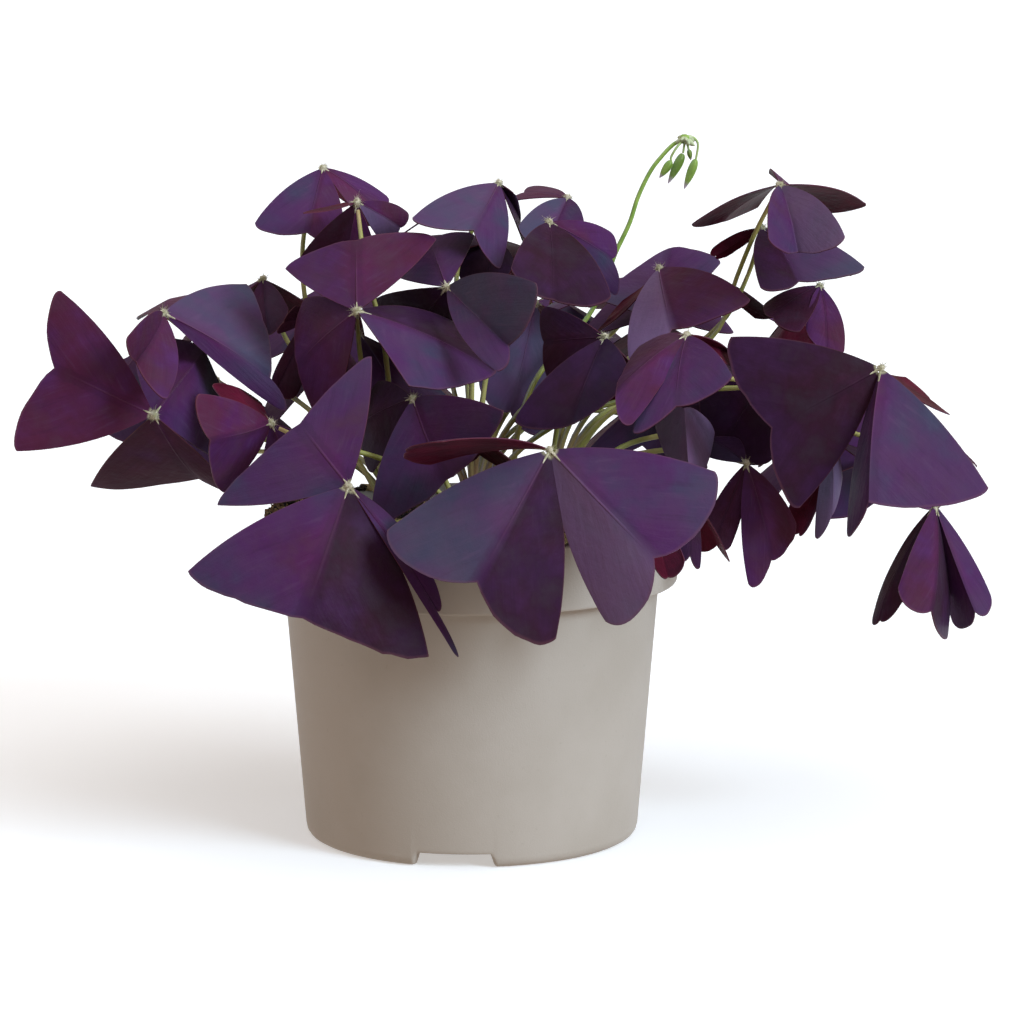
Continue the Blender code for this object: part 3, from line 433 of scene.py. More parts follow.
# %% Hub, edge length and leaflets of every leaf
def hub_behind(place, slide, sink):
    """The hub of a leaf behind, slid away from the eye and sunk by some millimetres."""
    hub = np.array(place) / 1000
    line = unit(hub - EYE)
    return hub + line * (slide / 1000 / line[1]) - np.array([0, 0, sink / 1000])


leaves = {}
for name in sorted(LEAVES, key=lambda one: LEAVES[one][1]):
    spot, depth, edge, leaflets = LEAVES[name]
    leaves[name] = (seen_at(spot, depth / 1000), edge / 1000, leaflets)
for name, (place, edge, slide, sink, turn, droop) in BEHIND.items():
    leaflets = [spread(turn + step, droop) for step in (0, 120, 240)]
    leaves[name] = (hub_behind(place, slide, sink), edge / 1000, leaflets)
print(len(leaves), "leaves in all")

# %% [markdown]
# Stalks are cubic curves from a crown in the soil to the underside of a hub. The flower stalk
# and four leaf stalks follow spots that show in the front view.

# %% Curves
def bend(start, end, leave, arrive, count):
    """Points on the cubic curve from start to end with these handles."""
    t = np.linspace(0, 1, count)[:, None]
    return ((1 - t) ** 3 * start + 3 * (1 - t) ** 2 * t * (start + leave)
            + 3 * (1 - t) * t ** 2 * (end - arrive) + t ** 3 * end)


# %% The ground and the flower stalk's line
SOIL_TOP = [(0.0, SOIL_CROWN), (0.020, SOIL_CROWN - 0.0005), (0.040, SOIL_CROWN - 0.002),
            (0.053, SOIL_EDGE + 0.0015), (0.0575, SOIL_EDGE)]
CROWNS = [(0.0, 0.0)] + [(CROWN_RING * math.cos(math.radians(a)), CROWN_RING * math.sin(math.radians(a)))
                        for a in np.arange(RING_COUNT) * 360 / RING_COUNT - 90]
SCAPE = [(608, 275), (615, 254), (629.5, 223), (638, 197), (650, 172), (662, 156), (674, 144), (685, 139)]
PEDICELS = [
    [(685, 139), (677, 146), (671, 156), (671, 161)],
    [(685, 139), (684, 146), (683, 153)],
    [(685, 139), (692, 137), (698, 144), (696, 160)],
    [(685, 139), (688, 146), (689, 151)],
]
BUDS = [((671, 160), (660, 176), 0.0016), ((683, 153), (669, 181), 0.0018),
        ((696, 159), (685, 187), 0.0017), ((689, 150), (691, 160), 0.0010)]


def ground(x, y):
    """Height of the soil at a place."""
    return float(np.interp(math.hypot(x, y), [r for r, _ in SOIL_TOP], [z for _, z in SOIL_TOP]))


def scape_path():
    """The flower stalk from inside its hole to its head."""
    shown = np.array([seen_at(spot, SCAPE_DEPTH) for spot in SCAPE])
    x, y = SCAPE_FOOT
    foot = np.array([x, y, ground(x, y) - CROWN_DEPTH + SCAPE_STEP])
    way = unit(shown[1] - shown[0])
    mouth = foot + np.array([0, 0, CROWN_DEPTH + SCAPE_STEP])
    low = bend(mouth, shown[0], np.array([0, 0, 0.05]), way * 0.03, 10)
    return np.concatenate([[foot], low[:-1], shown])


# %% The leaf stalks that show
RUNS = {
    "A": (5, [((300, 440), 10), ((240, 438), 17), ((190, 429), 4), ((168, 421), -11)]),
    "N": (3, [((716, 333), 27), ((735, 282), 29), ((746, 254), 27), ((758, 227), 22)]),
    "NN": (3, [((719, 327), 42), ((742, 288), 44), ((753, 262), 41)]),
    "T": (2, [((760, 425), 22), ((850, 432), 22), ((905, 462), 12), ((926, 485), 4)]),
}


def run_path(name):
    """Such a stalk from inside its crown to the leaf's hub, as a smooth curve through its spots."""
    crown, spots = RUNS[name]
    x, y = CROWNS[crown]
    start = np.array([x, y, ground(x, y) - STALK_SUNK])
    shown = [seen_at(spot, depth / 1000) for spot, depth in spots]
    hub = leaves[name][0]
    end = hub - unit(hub - shown[-1]) * (HUB_RADIUS + CLEAR)
    rise = bend(start, shown[0], np.array([0, 0, 0.03]), 0.4 * (shown[1] - shown[0]), 4)
    knots = np.array([*rise, *shown[1:], end])
    at = np.concatenate([[0], np.cumsum(np.linalg.norm(np.diff(knots, axis=0), axis=1))])
    slope = np.gradient(knots, at, axis=0)
    pick = np.linspace(0, at[-1], STALK_POINTS)
    k = np.clip(np.searchsorted(at, pick, side="right") - 1, 0, len(at) - 2)
    wide = (at[k + 1] - at[k])[:, None]
    t = (pick - at[k])[:, None] / wide
    return ((1 + 2 * t) * (1 - t) ** 2 * knots[k] + t * (1 - t) ** 2 * wide * slope[k]
            + t ** 2 * (3 - 2 * t) * knots[k + 1] - t ** 2 * (1 - t) * wide * slope[k + 1])


# %% [markdown]
# Of all the bends that stay clear of blades and other stalks, the search kept the one that
# shows least from the front. These are its findings: the crown, the number of the direction in
# which the stalk meets the hub, and the length of the curve's two handles as shares of the
# distance, first at the crown and then at the hub.

# %% Stalk curves
STALKS = {
    "B9": (4, 31, 0.45, 0.2), "B10": (3, 1, 0.8, 0.45), "B6": (4, 0, 0.45, 0.45),
    "B2": (5, 0, 0.45, 0.45), "O": (0, 13, 0.45, 0.2), "B7": (0, 5, 0.45, 0.45),
    "Q": (3, 1, 0.8, 0.45), "B1": (5, 0, 0.45, 0.45), "S": (3, 8, 0.45, 0.2),
    "B4": (4, 1, 0.45, 0.45), "B3": (4, 2, 0.45, 0.45), "B": (6, 16, 0.45, 0.45),
    "X": (0, 12, 0.8, 0.2), "L": (3, 2, 0.8, 0.45), "R": (2, 0, 0.45, 0.45),
    "B11": (4, 3, 0.8, 0.45), "V": (1, 8, 0.45, 0.2), "W": (1, 0, 0.45, 0.45),
    "M": (2, 14, 0.8, 0.45), "CC": (5, 1, 0.45, 0.45), "Y": (2, 5, 0.45, 0.2),
    "K": (3, 1, 0.8, 0.45), "C": (1, 14, 0.45, 0.2), "Z": (2, 0, 0.45, 0.2),
    "FF": (4, 10, 0.45, 0.45), "D": (5, 2, 0.2, 0.45), "G": (4, 2, 0.8, 0.2),
    "AA": (4, 0, 0.45, 0.2), "DD": (5, 5, 0.45, 0.2), "U": (1, 3, 0.2, 0.2),
    "P": (3, 2, 0.8, 0.45), "H": (6, 8, 0.2, 0.45), "E": (5, 4, 0.8, 0.45),
    "F": (0, 5, 0.8, 0.45), "J": (0, 21, 0.8, 0.2), "I": (0, 24, 0.8, 0.2),
}


def directions():
    """Sixty evenly spread unit vectors, from straight up to straight down."""
    k = np.arange(60) + 0.5
    rise = 1 - 2 * k / 60
    turn = math.pi * (1 + 5 ** 0.5) * k
    flat = np.sqrt(1 - rise ** 2)
    return np.stack([flat * np.cos(turn), flat * np.sin(turn), rise], -1)


def stalk_path(name):
    """A leaf's stalk: up out of its crown, leaning a little outwards, and in to the hub."""
    crown, number, rise, late = STALKS[name]
    hub = leaves[name][0]
    x, y = CROWNS[crown]
    start = np.array([x, y, ground(x, y) - STALK_SUNK])
    span = np.linalg.norm(hub - start)
    way = directions()[number]
    leave = np.array([0, 0, rise * span]) + STALK_LEAN * np.array([hub[0] - x, hub[1] - y, 0.0])
    return bend(start, hub - way * (HUB_RADIUS + CLEAR), leave, way * late * span, STALK_POINTS)


stalks = {name: (RUNS[name][0], run_path(name)) for name in RUNS}
for name in STALKS:
    stalks[name] = (STALKS[name][0], stalk_path(name))
print(len(stalks), "stalks from", len({crown for crown, _ in stalks.values()}), "crowns")

# %% [markdown]
# Every finished piece goes in the same way: its points and faces are worked out in numpy round
# the pot's axis, joined into one mesh and stepped across to the frame, and the solids it takes
# the place of are hidden.
# A part of a piece is a dictionary: points, faces, a finish and numbers kept on the points.

# %% Grids and joined parts
def grid_quads(rows, columns, closed=False):
    """Quads of a grid numbered row by row; the last column meets the first when it is closed."""
    number = np.arange(rows * columns).reshape(rows, columns)
    if closed:
        number = np.concatenate([number, number[:, :1]], axis=1)
    a, b, c, d = number[:-1, :-1], number[1:, :-1], number[1:, 1:], number[:-1, 1:]
    return np.stack([a, b, c, d], -1).reshape(-1, 4)


def round_turns(count):
    """Angles evenly spread round a circle."""
    return np.linspace(0, 2 * math.pi, count, endpoint=False)


def end_rings(rows, columns):
    """The point numbers of the first and the last row of a grid that closes on itself."""
    return list(range(columns)), list(range((rows - 1) * columns, rows * columns))


def sideways(way, axis):
    """For each way a direction square to it and to the axis, and one square to both."""
    side = np.cross(way, axis)
    side /= np.linalg.norm(side, axis=1, keepdims=True)
    return side, np.cross(way, side)


def part(points, faces, finish=0, uv=None, **values):
    """One part of a piece. uv is a pair for each point, and each value is a number for each."""
    points = np.asarray(points, float).reshape(-1, 3)
    uv = np.zeros((len(points), 2)) if uv is None else np.asarray(uv, float).reshape(-1, 2)
    values = {name: np.broadcast_to(value, len(points)).astype(float) for name, value in values.items()}
    return {"points": points, "faces": faces, "finish": finish, "uv": uv, "values": values}


def add_piece(name, parts, finishes, slot, *nodes, sharp=50):
    """Joins parts into one mesh object, in the frame, that rides and stands for solids."""
    starts = np.cumsum([0] + [len(one["points"]) for one in parts])
    points = np.concatenate([one["points"] for one in parts]) + SHIFT
    points = np.clip(points, CAD_LOW + 0.0001, CAD_HIGH - 0.0001)
    faces = [face for one, start in zip(parts, starts) for face in shifted(one["faces"], start)]
    mesh = bpy.data.meshes.new(name)
    mesh.from_pydata(points.tolist(), [], faces)
    finish = np.concatenate([np.full(len(one["faces"]), one["finish"]) for one in parts])
    mesh.polygons.foreach_set("material_index", finish.astype(np.int32))
    corner = np.empty(len(mesh.loops), np.int32)
    mesh.loops.foreach_get("vertex_index", corner)
    uv = np.concatenate([one["uv"] for one in parts])
    mesh.uv_layers.new(name="place").data.foreach_set("uv", uv[corner].ravel())
    for key in sorted({key for one in parts for key in one["values"]}):
        numbers = np.concatenate([one["values"].get(key, np.zeros(len(one["points"]))) for one in parts])
        mesh.attributes.new(key, "FLOAT", "POINT").data.foreach_set("value", numbers)
    for made in finishes:
        mesh.materials.append(made)
    mesh.shade_smooth()
    mesh.set_sharp_from_angle(angle=math.radians(sharp))
    piece = bpy.data.objects.new(name, mesh)
    bpy.context.scene.collection.objects.link(piece)
    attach(piece, "root")
    if nodes:
        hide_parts(*nodes)
    return piece


def shifted(faces, start):
    """Faces as lists, with every point's number moved on by start."""
    if isinstance(faces, np.ndarray):
        return (faces + start).tolist()
    return [[corner + start for corner in face] for face in faces]


# %% [markdown]
# Leaves wrinkle, soil is lumpy and hairs point anywhere, but the script has to give the same
# plant each time. A sum of plane waves in fixed, spread-out directions gives smooth lumps
# without any chance in it, and a seeded generator gives the scatter.

# %% Lumps and scatter
WAVES = 14


def lumps(points, size, seed):
    """Smooth lumps from -1 to 1: a sum of sines of the position along fixed directions.

    The wave lengths lie between 0.6 and 1.7 times the size, and the phases come from the seed.
    """
    chance = np.random.default_rng(seed)
    ways = chance.normal(size=(WAVES, 3))
    ways /= np.linalg.norm(ways, axis=1, keepdims=True)
    ways *= 2 * math.pi / (size * chance.uniform(0.6, 1.7, (WAVES, 1)))
    phases = chance.uniform(0, 2 * math.pi, WAVES)
    return np.sin(np.asarray(points) @ ways.T + phases).sum(axis=-1) / WAVES ** 0.5 * 0.7


print("lumps at three places:", np.round(lumps(np.eye(3) * 0.1, 0.02, 1), 2))

# %% [markdown]
# Surface patterns are node networks, but they read best as sums. The small class below wraps
# a number socket, so that 1 - rib * 2 adds its own Math nodes. Any other node comes from the
# one method of a finish, which takes the node's type, its settings and its sockets.

# %% Numbers that change over a surface
class Number:
    """A number socket of a finish, with the signs + - * for its Math nodes."""

    def __init__(self, finish, socket):
        self.finish = finish
        self.socket = socket

    def joined(self, operation, first, second):
        node = self.finish.node("ShaderNodeMath", {"operation": operation}, {0: first, 1: second})
        return Number(self.finish, node.outputs[0])

    def __add__(self, other):
        return self.joined("ADD", self, other)

    def __radd__(self, other):
        return self.joined("ADD", other, self)

    def __sub__(self, other):
        return self.joined("SUBTRACT", self, other)

    def __rsub__(self, other):
        return self.joined("SUBTRACT", other, self)

    def __mul__(self, other):
        return self.joined("MULTIPLY", self, other)

    def size(self):
        return self.joined("ABSOLUTE", self, 0.0)

    def smooth(self, low, high):
        """0 at low and 1 at high with a smooth step between; low may be the larger."""
        node = self.finish.node("ShaderNodeMapRange", {"interpolation_type": "SMOOTHSTEP"},
                                {"Value": self, "From Min": low, "From Max": high})
        return Number(self.finish, node.outputs[0])


# %% A finish and its one node method
class Finish:
    """A material: its shader, the patterns that it reads, and one method for every other node."""

    def __init__(self, name, **fixed):
        self.material = bpy.data.materials.new(name)
        self.material.use_nodes = True
        self.tree = self.material.node_tree
        self.shader = self.tree.nodes["Principled BSDF"]
        for key, value in fixed.items():
            self.shader.inputs[key.replace("_", " ")].default_value = value

    def node(self, kind, settings=None, sockets=None):
        made = self.tree.nodes.new(kind)
        for key, value in (settings or {}).items():
            setattr(made, key, value)
        for key, value in (sockets or {}).items():
            self.feed(made.inputs[key], value)
        return made

    def feed(self, socket, value):
        value = value.socket if isinstance(value, Number) else value
        if isinstance(value, bpy.types.NodeSocket):
            self.tree.links.new(value, socket)
        elif isinstance(value, tuple) and socket.type == "RGBA":
            socket.default_value = (*value[:3], 1)
        else:
            socket.default_value = value

    def place(self):
        """The two numbers of the piece's own UV map."""
        node = self.node("ShaderNodeUVMap", {"uv_map": "place"})
        apart = self.node("ShaderNodeSeparateXYZ", None, {0: node.outputs[0]})
        return Number(self, apart.outputs[0]), Number(self, apart.outputs[1])

    def spot(self):
        """Object coordinates, in metres."""
        return self.node("ShaderNodeTexCoord").outputs["Object"]

    def kept(self, name):
        """A number kept on the points of the mesh."""
        return Number(self, self.node("ShaderNodeAttribute", {"attribute_name": name}).outputs["Fac"])

    def noise(self, scale, detail=2.0, roughness=0.5, vector=None):
        sockets = {"Vector": vector or self.spot(), "Scale": scale, "Detail": detail, "Roughness": roughness}
        return Number(self, self.node("ShaderNodeTexNoise", None, sockets).outputs[0])

    def blend(self, factor, first, second):
        """The first colour where the factor is 0 and the second where it is 1."""
        node = self.node("ShaderNodeMix", {"data_type": "RGBA"}, {0: factor, 6: first, 7: second})
        return node.outputs[2]

    def relief(self, height, distance):
        """A bumped normal for a height that runs from 0 to 1 and is that many metres deep."""
        node = self.node("ShaderNodeBump", None, {"Height": height, "Distance": distance, "Strength": 1.0})
        self.feed(self.shader.inputs["Normal"], node.outputs[0])

    def paint(self, **sockets):
        for key, value in sockets.items():
            self.feed(self.shader.inputs[key.replace("_", " ")], value)


print("finish helpers ready")

# %% [markdown]
# The upper side of a blade runs from bluish violet through purple to reddish brown, in soft
# blotches, with a magenta heart along the midrib and feathery pale streaks that follow the
# veins, partly the veins' own paleness and partly painted highlight. The underside is crimson.
# Both sides are one finish: the UV map runs across and along the blade, so veins can be drawn
# in it, and kept numbers say how warm each half is, how far painted shade darkens it and how
# far a painted pale sheen covers it.

# %% Finish of the blades
def blade_finish():
    """Colours by warmth, painted shade and painted sheen; a vein is a line of one order, order = v (1 - 0.85
    share).
    """
    leaf = Finish("Shamrock blade", Sheen_Weight=0.03, Sheen_Roughness=0.4, Sheen_Tint=(0.62, 0.66, 1.0, 1),
                  Specular_IOR_Level=0.05)
    across, along = leaf.place()
    share = (across * 2 - 1).size()
    under = leaf.kept("under")
    blotches, clouds, grain = leaf.noise(42, 3.0, 0.55), leaf.noise(95, 3.0, 0.6), leaf.noise(420, 3.0, 0.6)
    aside = share * along
    rib = aside.smooth(0.016, 0.003) * along.smooth(1.0, 0.35)
    order = along * (1 - share * 0.85) + (clouds - 0.5) * 0.06
    lines = leaf.node("ShaderNodeCombineXYZ", None, {0: order * 17, 1: share * 1.6, 2: across * 3}).outputs[0]
    streaks = leaf.noise(1.0, 3.0, 0.65, lines) * aside.smooth(0.0, 0.12)
    edge = along.smooth(0.978, 0.996) + share.smooth(0.978, 0.996)
    base = along.smooth(0.060, 0.036)
    heart = share.smooth(0.55, 0.0) * along.smooth(1.0, 0.3)
    warm = leaf.kept("warmth") + (blotches - 0.5) * 1.7 + (clouds - 0.5) * 0.6 + heart * 0.15
    cool = leaf.blend(warm.smooth(-0.1, 0.5), (0.044, 0.046, 0.094), (0.076, 0.021, 0.108))
    upper = leaf.blend(warm.smooth(0.45, 1.05), cool, (0.090, 0.017, 0.052))
    upper = leaf.blend(heart * blotches.smooth(0.35, 0.6) * 0.6, upper, (0.120, 0.020, 0.110))
    # Pale streaks along the veins: the veins' own paleness, partly painted highlight.
    upper = leaf.blend(streaks.smooth(0.50, 0.72) * 0.16, upper, (0.150, 0.085, 0.185))
    upper = leaf.blend(streaks.smooth(0.42, 0.25) * 0.24, upper, (0.030, 0.010, 0.038))
    upper = leaf.blend(rib * 0.30, upper, (0.180, 0.070, 0.150))
    # Painted shade: the half's kept number, mottled by clouds and blotches, darkens the upper side to near
    # black.
    dark = leaf.kept("dark") + (clouds - 0.5) * 0.7 + (blotches - 0.5) * 0.4
    upper = leaf.blend(dark, upper, (0.013, 0.006, 0.010))
    # Painted sheen: the half's kept number light lays a pale violet veil over the upper side.
    light = leaf.kept("light") + (clouds - 0.5) * 0.5
    upper = leaf.blend(light * 0.7, upper, (0.200, 0.150, 0.260))
    lower = leaf.blend(clouds.smooth(0.3, 0.75), (0.040, 0.003, 0.011), (0.095, 0.006, 0.024))
    lower = leaf.blend(rib * 0.4, lower, (0.180, 0.050, 0.060))
    colour = leaf.blend(under, upper, lower)
    colour = leaf.blend(edge * 0.22, colour, (0.180, 0.075, 0.085))
    colour = leaf.blend(base, colour, (0.330, 0.320, 0.220))
    leaf.paint(Base_Color=colour, Roughness=0.44 + clouds * 0.16 - streaks * 0.05)
    leaf.relief(rib * 0.5 + streaks * 0.3 + grain * 0.4 + blotches * 1.2, 0.0004)
    return leaf.material


BLADE_FINISH = blade_finish()
print("nodes in the blade finish:", len(BLADE_FINISH.node_tree.nodes))

# %% [markdown]
# Where the leaflets meet there is a small pale knot, downy with short hairs. The stalks below it
# are yellow green, a little pinker at the foot.

# %% Finishes of knots and stalks
def knot_finish():
    knot = Finish("Downy knot", Roughness=0.75, Sheen_Weight=0.4)
    patches = knot.noise(700, 2.0)
    colour = knot.blend(patches.smooth(0.35, 0.65), (0.300, 0.300, 0.160), (0.560, 0.540, 0.420))
    knot.paint(Base_Color=colour)
    knot.relief(knot.noise(2500, 2.0), 0.0003)
    return knot.material


def stalk_finish():
    """Green to yellow by patches, pink at the foot and towards the knot, with fine lengthwise lines."""
    stalk = Finish("Leaf stalk", Specular_IOR_Level=0.45)
    _, along = stalk.place()
    patches = stalk.noise(90, 3.0)
    green = stalk.blend(patches.smooth(0.35, 0.65), (0.270, 0.300, 0.070), (0.400, 0.370, 0.120))
    foot = stalk.blend(along.smooth(0.22, 0.0), green, (0.300, 0.140, 0.100))
    stalk.paint(Base_Color=stalk.blend(along.smooth(0.90, 1.0) * 0.5, foot, (0.330, 0.180, 0.120)),
                Roughness=0.42 + patches * 0.2)
    stalk.relief(stalk.noise(2200, 2.0), 0.0001)
    return stalk.material


KNOT_FINISH = knot_finish()
STALK_FINISH = stalk_finish()
print("knots and stalks have a finish")

# %% [markdown]
# A leaflet is worked out on a fine grid with the same formula as its solid. To this come the
# things that a plain solid leaves out: a slow ripple towards the rim, a slightly uneven rim, and
# real thickness. Both faces and the narrow rim between them are one closed sheet.

# %% A leaflet as a closed sheet
SKIN = 0.00034
RIPPLE = 0.00035
UNEVEN = 0.010
ACROSS = np.sin(np.linspace(-1, 1, 33) * math.pi / 2 * 0.94) / math.sin(math.pi / 2 * 0.94)
ALONG = ROOT + (1 - ROOT) * np.linspace(0, 1, 23) ** 0.9
MIDRIB = len(ACROSS) // 2


def fine_leaflet(leaflet, hub, edge, seed):
    """Middle surface of a leaflet: the solid's formula with ripple and an uneven rim.

    The ripple grows with the square of the way along the blade, and the unevenness of its
    reach with the cube.
    """
    grid, top = surface(leaflet, hub, edge, ACROSS, ALONG)
    along = ALONG[:, None, None]
    uneven = lumps(grid, 0.009, seed)[..., None]
    slow = lumps(grid, 0.024, seed + 1)[..., None]
    grid = hub + (grid - hub) * (1 + UNEVEN * uneven * along ** 3)
    return grid + RIPPLE * slow * along ** 2 * top, top


def sheet_part(grid, top, thickness, **values):
    """A closed sheet round a middle surface: each face lies half the thickness along its normal."""
    across = np.broadcast_to(ACROSS, grid.shape[:2])
    along = np.broadcast_to(ALONG[:, None], grid.shape[:2])
    normal = np.cross(np.gradient(grid, axis=0), np.gradient(grid, axis=1))
    if (normal * top).sum() < 0:
        grid, across, normal = grid[:, ::-1], across[:, ::-1], -normal[:, ::-1]
        values = {key: value[::-1] for key, value in values.items()}
    normal = normal / np.maximum(np.linalg.norm(normal, axis=-1, keepdims=True), 1e-12)
    points = np.concatenate([(grid + side * normal * thickness / 2).reshape(-1, 3) for side in (1, -1)])
    rows, columns = grid.shape[:2]
    number = np.arange(rows * columns).reshape(rows, columns)
    loop = np.concatenate([number[0, :-1], number[:-1, -1], number[-1, :0:-1], number[:0:-1, 0]])
    ahead, below = np.roll(loop, -1), rows * columns
    faces = grid_quads(rows, columns)
    rim = np.stack([loop, ahead, ahead + below, loop + below], -1)
    faces = np.concatenate([faces, faces[:, ::-1] + below, rim])
    uv = np.stack([across / 2 + 0.5, along], -1).reshape(-1, 2)
    under = np.repeat([0.0, 1.0], rows * columns)
    values = {key: np.tile(np.broadcast_to(value, (rows, columns)).ravel(), 2)
              for key, value in values.items()}
    return part(points, faces, 0, np.concatenate([uv, uv]), under=under, **values)


# %% [markdown]
# The knot is a small uneven ball. Its hairs are thin three-sided spikes, all made at once.

# %% Knots and hairs
KNOT_RADIUS = 0.0011
HAIRS = 90
HAIR_ROOT = 0.0010
HAIR_LENGTH = 0.0013
HAIR_RADIUS = 0.00007


def ball_points(rows, sides):
    """Unit vectors in rings from top to bottom, with the two poles last."""
    rise = np.linspace(0, math.pi, rows + 2)[1:-1, None]
    turn = round_turns(sides)[None]
    way = np.stack([np.sin(rise) * np.cos(turn), np.sin(rise) * np.sin(turn), np.cos(rise) + 0 * turn], -1)
    return np.concatenate([way.reshape(-1, 3), [[0, 0, 1], [0, 0, -1]]])


def knot_part(centre, radius, seed, finish=1):
    """A ball whose radius is changed by a fifth by lumps, closed at its poles."""
    rows, sides = 9, 16
    way = ball_points(rows, sides)
    points = centre + way * radius * (1 + 0.2 * lumps(way * 0.01, 0.012, seed)[:, None])
    pole = rows * sides
    first, last = end_rings(rows, sides)
    ring = [(k, (k + 1) % sides) for k in range(sides)]
    cap = [[first[k], first[ahead], pole] for k, ahead in ring]
    foot = [[pole + 1, last[ahead], last[k]] for k, ahead in ring]
    return part(points, grid_quads(rows, sides, closed=True).tolist() + cap + foot, finish)


def hair_part(centre, radius, length, count, seed, finish=1):
    """Spikes: three base points on the ball round a chance direction, and a tip beyond it."""
    chance = np.random.default_rng(seed)
    way = chance.normal(size=(count, 3))
    way /= np.linalg.norm(way, axis=1, keepdims=True)
    side, other = sideways(way, [0.31, 0.52, 0.80])
    turn = np.array([0, 2, 4]) * math.pi / 3
    ring = np.cos(turn)[:, None] * side[:, None] + np.sin(turn)[:, None] * other[:, None]
    base = centre + way[:, None] * radius * 0.9 + HAIR_RADIUS * ring
    bent = way + 0.3 * chance.normal(size=(count, 3))
    tip = centre + bent * (radius + length * chance.uniform(0.4, 1, (count, 1)))
    points = np.concatenate([base, tip[:, None]], axis=1).reshape(-1, 3)
    start = np.arange(count)[:, None] * 4
    faces = np.concatenate([start + [0, 1, 3], start + [1, 2, 3], start + [2, 0, 3], start + [2, 1, 0]])
    return part(points, faces, finish)


# %% [markdown]
# A stalk is a round profile carried along its curve. The frame it is carried in is fixed: the
# axis least in line with the curve gives one side direction and a cross product the other.

# %% Tubes along a curve
def tube_part(path, radii, sides, finish=0, wobble=0.0, **values):
    """Rings round a path: point = path + radius (cos turn side + sin turn other), with flat ends."""
    path = np.asarray(path, float)
    way = np.gradient(path, axis=0)
    way /= np.linalg.norm(way, axis=1, keepdims=True)
    axis = np.eye(3)[np.abs(way).max(axis=0).argmin()]
    side, other = sideways(way, axis)
    turn = round_turns(sides)[None, :, None]
    round_it = np.cos(turn) * side[:, None] + np.sin(turn) * other[:, None]
    radii = np.broadcast_to(radii, len(path))[:, None, None]
    radii = radii * (1 + wobble * lumps(path, 0.006, 3)[:, None, None])
    grid = path[:, None] + radii * round_it
    along = np.repeat(np.linspace(0, 1, len(path)), sides)
    uv = np.stack([np.tile(np.arange(sides) / sides, len(path)), along], -1)
    quads = grid_quads(len(path), sides, closed=True)[:, ::-1].tolist()
    first, last = end_rings(len(path), sides)
    return part(grid, quads + [first, last[::-1]], finish, uv, **values)


def smooth_path(path, count):
    """More points on a path: cubic pieces through its points, with slopes from their neighbours."""
    path = np.asarray(path, float)
    slope = np.gradient(path, axis=0)
    place = np.linspace(0, len(path) - 1, count)
    low = np.minimum(place.astype(int), len(path) - 2)
    t = (place - low)[:, None]
    return ((2 * t ** 3 - 3 * t ** 2 + 1) * path[low] + (t ** 3 - 2 * t ** 2 + t) * slope[low]
            + (3 * t ** 2 - 2 * t ** 3) * path[low + 1] + (t ** 3 - t ** 2) * slope[low + 1])


# %% [markdown]
# Older blades differ in colour, and painted shade and painted sheen stand in for how light
# falls on each half, so each half of a leaflet has one of seven kinds: slate, violet, plum,
# rose, brown, night or lilac. A kind says how warm the half is, from bluish to reddish, with
# the bluish end partly painted sheen; how far painted shade darkens it; and how far a painted
# pale sheen covers it. Night and brown halves carry the most painted shade, lilac ones the most
# painted sheen.

# %% Leaves
# Each kind: warmth, painted shade, painted sheen.
KINDS = {
    "s": (0.10, 0.20, 0.20), "v": (0.35, 0.25, 0.05), "p": (0.75, 0.25, 0.00), "r": (1.00, 0.10, 0.05),
    "b": (1.00, 0.60, 0.00), "n": (0.60, 0.75, 0.00), "l": (0.35, 0.00, 0.65)}
TONES = {
    "A": "pp bb vv", "B": "pp sv pp", "C": "rp pp vv", "D": "vp pr vv", "E": "pp bp pl", "F": "sv nn vv",
    "G": "pp sv vv", "H": "pp pp nv", "I": "sv vv nn", "J": "nn pv nn", "K": "lp pp pp", "L": "sv nn nn",
    "M": "pp vv pp", "N": "pp vl pp", "NN": "pp ns vv", "O": "nn vv vv", "P": "pp nn nn", "Q": "pp bb nn",
    "R": "bb pp nn", "S": "ll pp nn", "T": "bb pn vv", "U": "vv nn nn", "V": "sn lv pp", "W": "vv vn vv",
    "X": "nn nn nn", "Y": "ll nn nn", "Z": "pp vv vv", "AA": "ss nn nn", "CC": "bb pp pp", "DD": "bb bb pp",
    "FF": "nn nn nn"}


def leaflet_tones(name, step):
    """Warmth, painted shade and painted sheen along the columns of a leaflet, from its first half to its
    last.
    """
    halves = np.array([KINDS[kind] for kind in TONES.get(name, "vv pv vv").split()[step]])
    mix = np.clip(ACROSS * 6 + 0.5, 0, 1)[:, None]
    return halves[0] * (1 - mix) + halves[1] * mix


def short_stalk(grid, hub):
    """A leaflet's own pale stalk: a thin taper from the knot along the start of the midrib."""
    path = hub + (grid[2, MIDRIB] - hub) * np.linspace(0.1, 0.75, 5)[:, None]
    return tube_part(path, np.linspace(0.00045, 0.00020, 5), 7, 1)


for seed, (name, (hub, edge, leaflets)) in enumerate(leaves.items()):
    parts = []
    for step, leaflet in enumerate(leaflets):
        grid, top = fine_leaflet(leaflet, hub, edge, 10 * seed + step)
        # Each half's warmth, painted shade and painted sheen, kept on the points of its blade.
        warmth, dark, light = leaflet_tones(name, step).T
        parts.append(sheet_part(grid, top, SKIN, warmth=warmth, dark=dark, light=light))
        parts.append(short_stalk(grid, hub))
    parts.append(knot_part(hub, KNOT_RADIUS, seed))
    parts.append(hair_part(hub, HAIR_ROOT, HAIR_LENGTH, HAIRS, seed))
    finishes, node = [BLADE_FINISH, KNOT_FINISH], f"leaf_{name.lower()}"
    add_piece("shamrock_" + node, parts, finishes, "leaf", node)
print("leaves of", [len(leaf[2]) for leaf in leaves.values()].count(3), "with three leaflets")

# %% [markdown]
# The stalks of one crown come up together through a low scaly mound, so they are one piece.

# %% Stalks and crowns
STALK_RINGS = 41
STALK_RADII = ([0, 0.15, 0.9, 1], [0.00088, 0.00082, 0.00068, 0.00058])


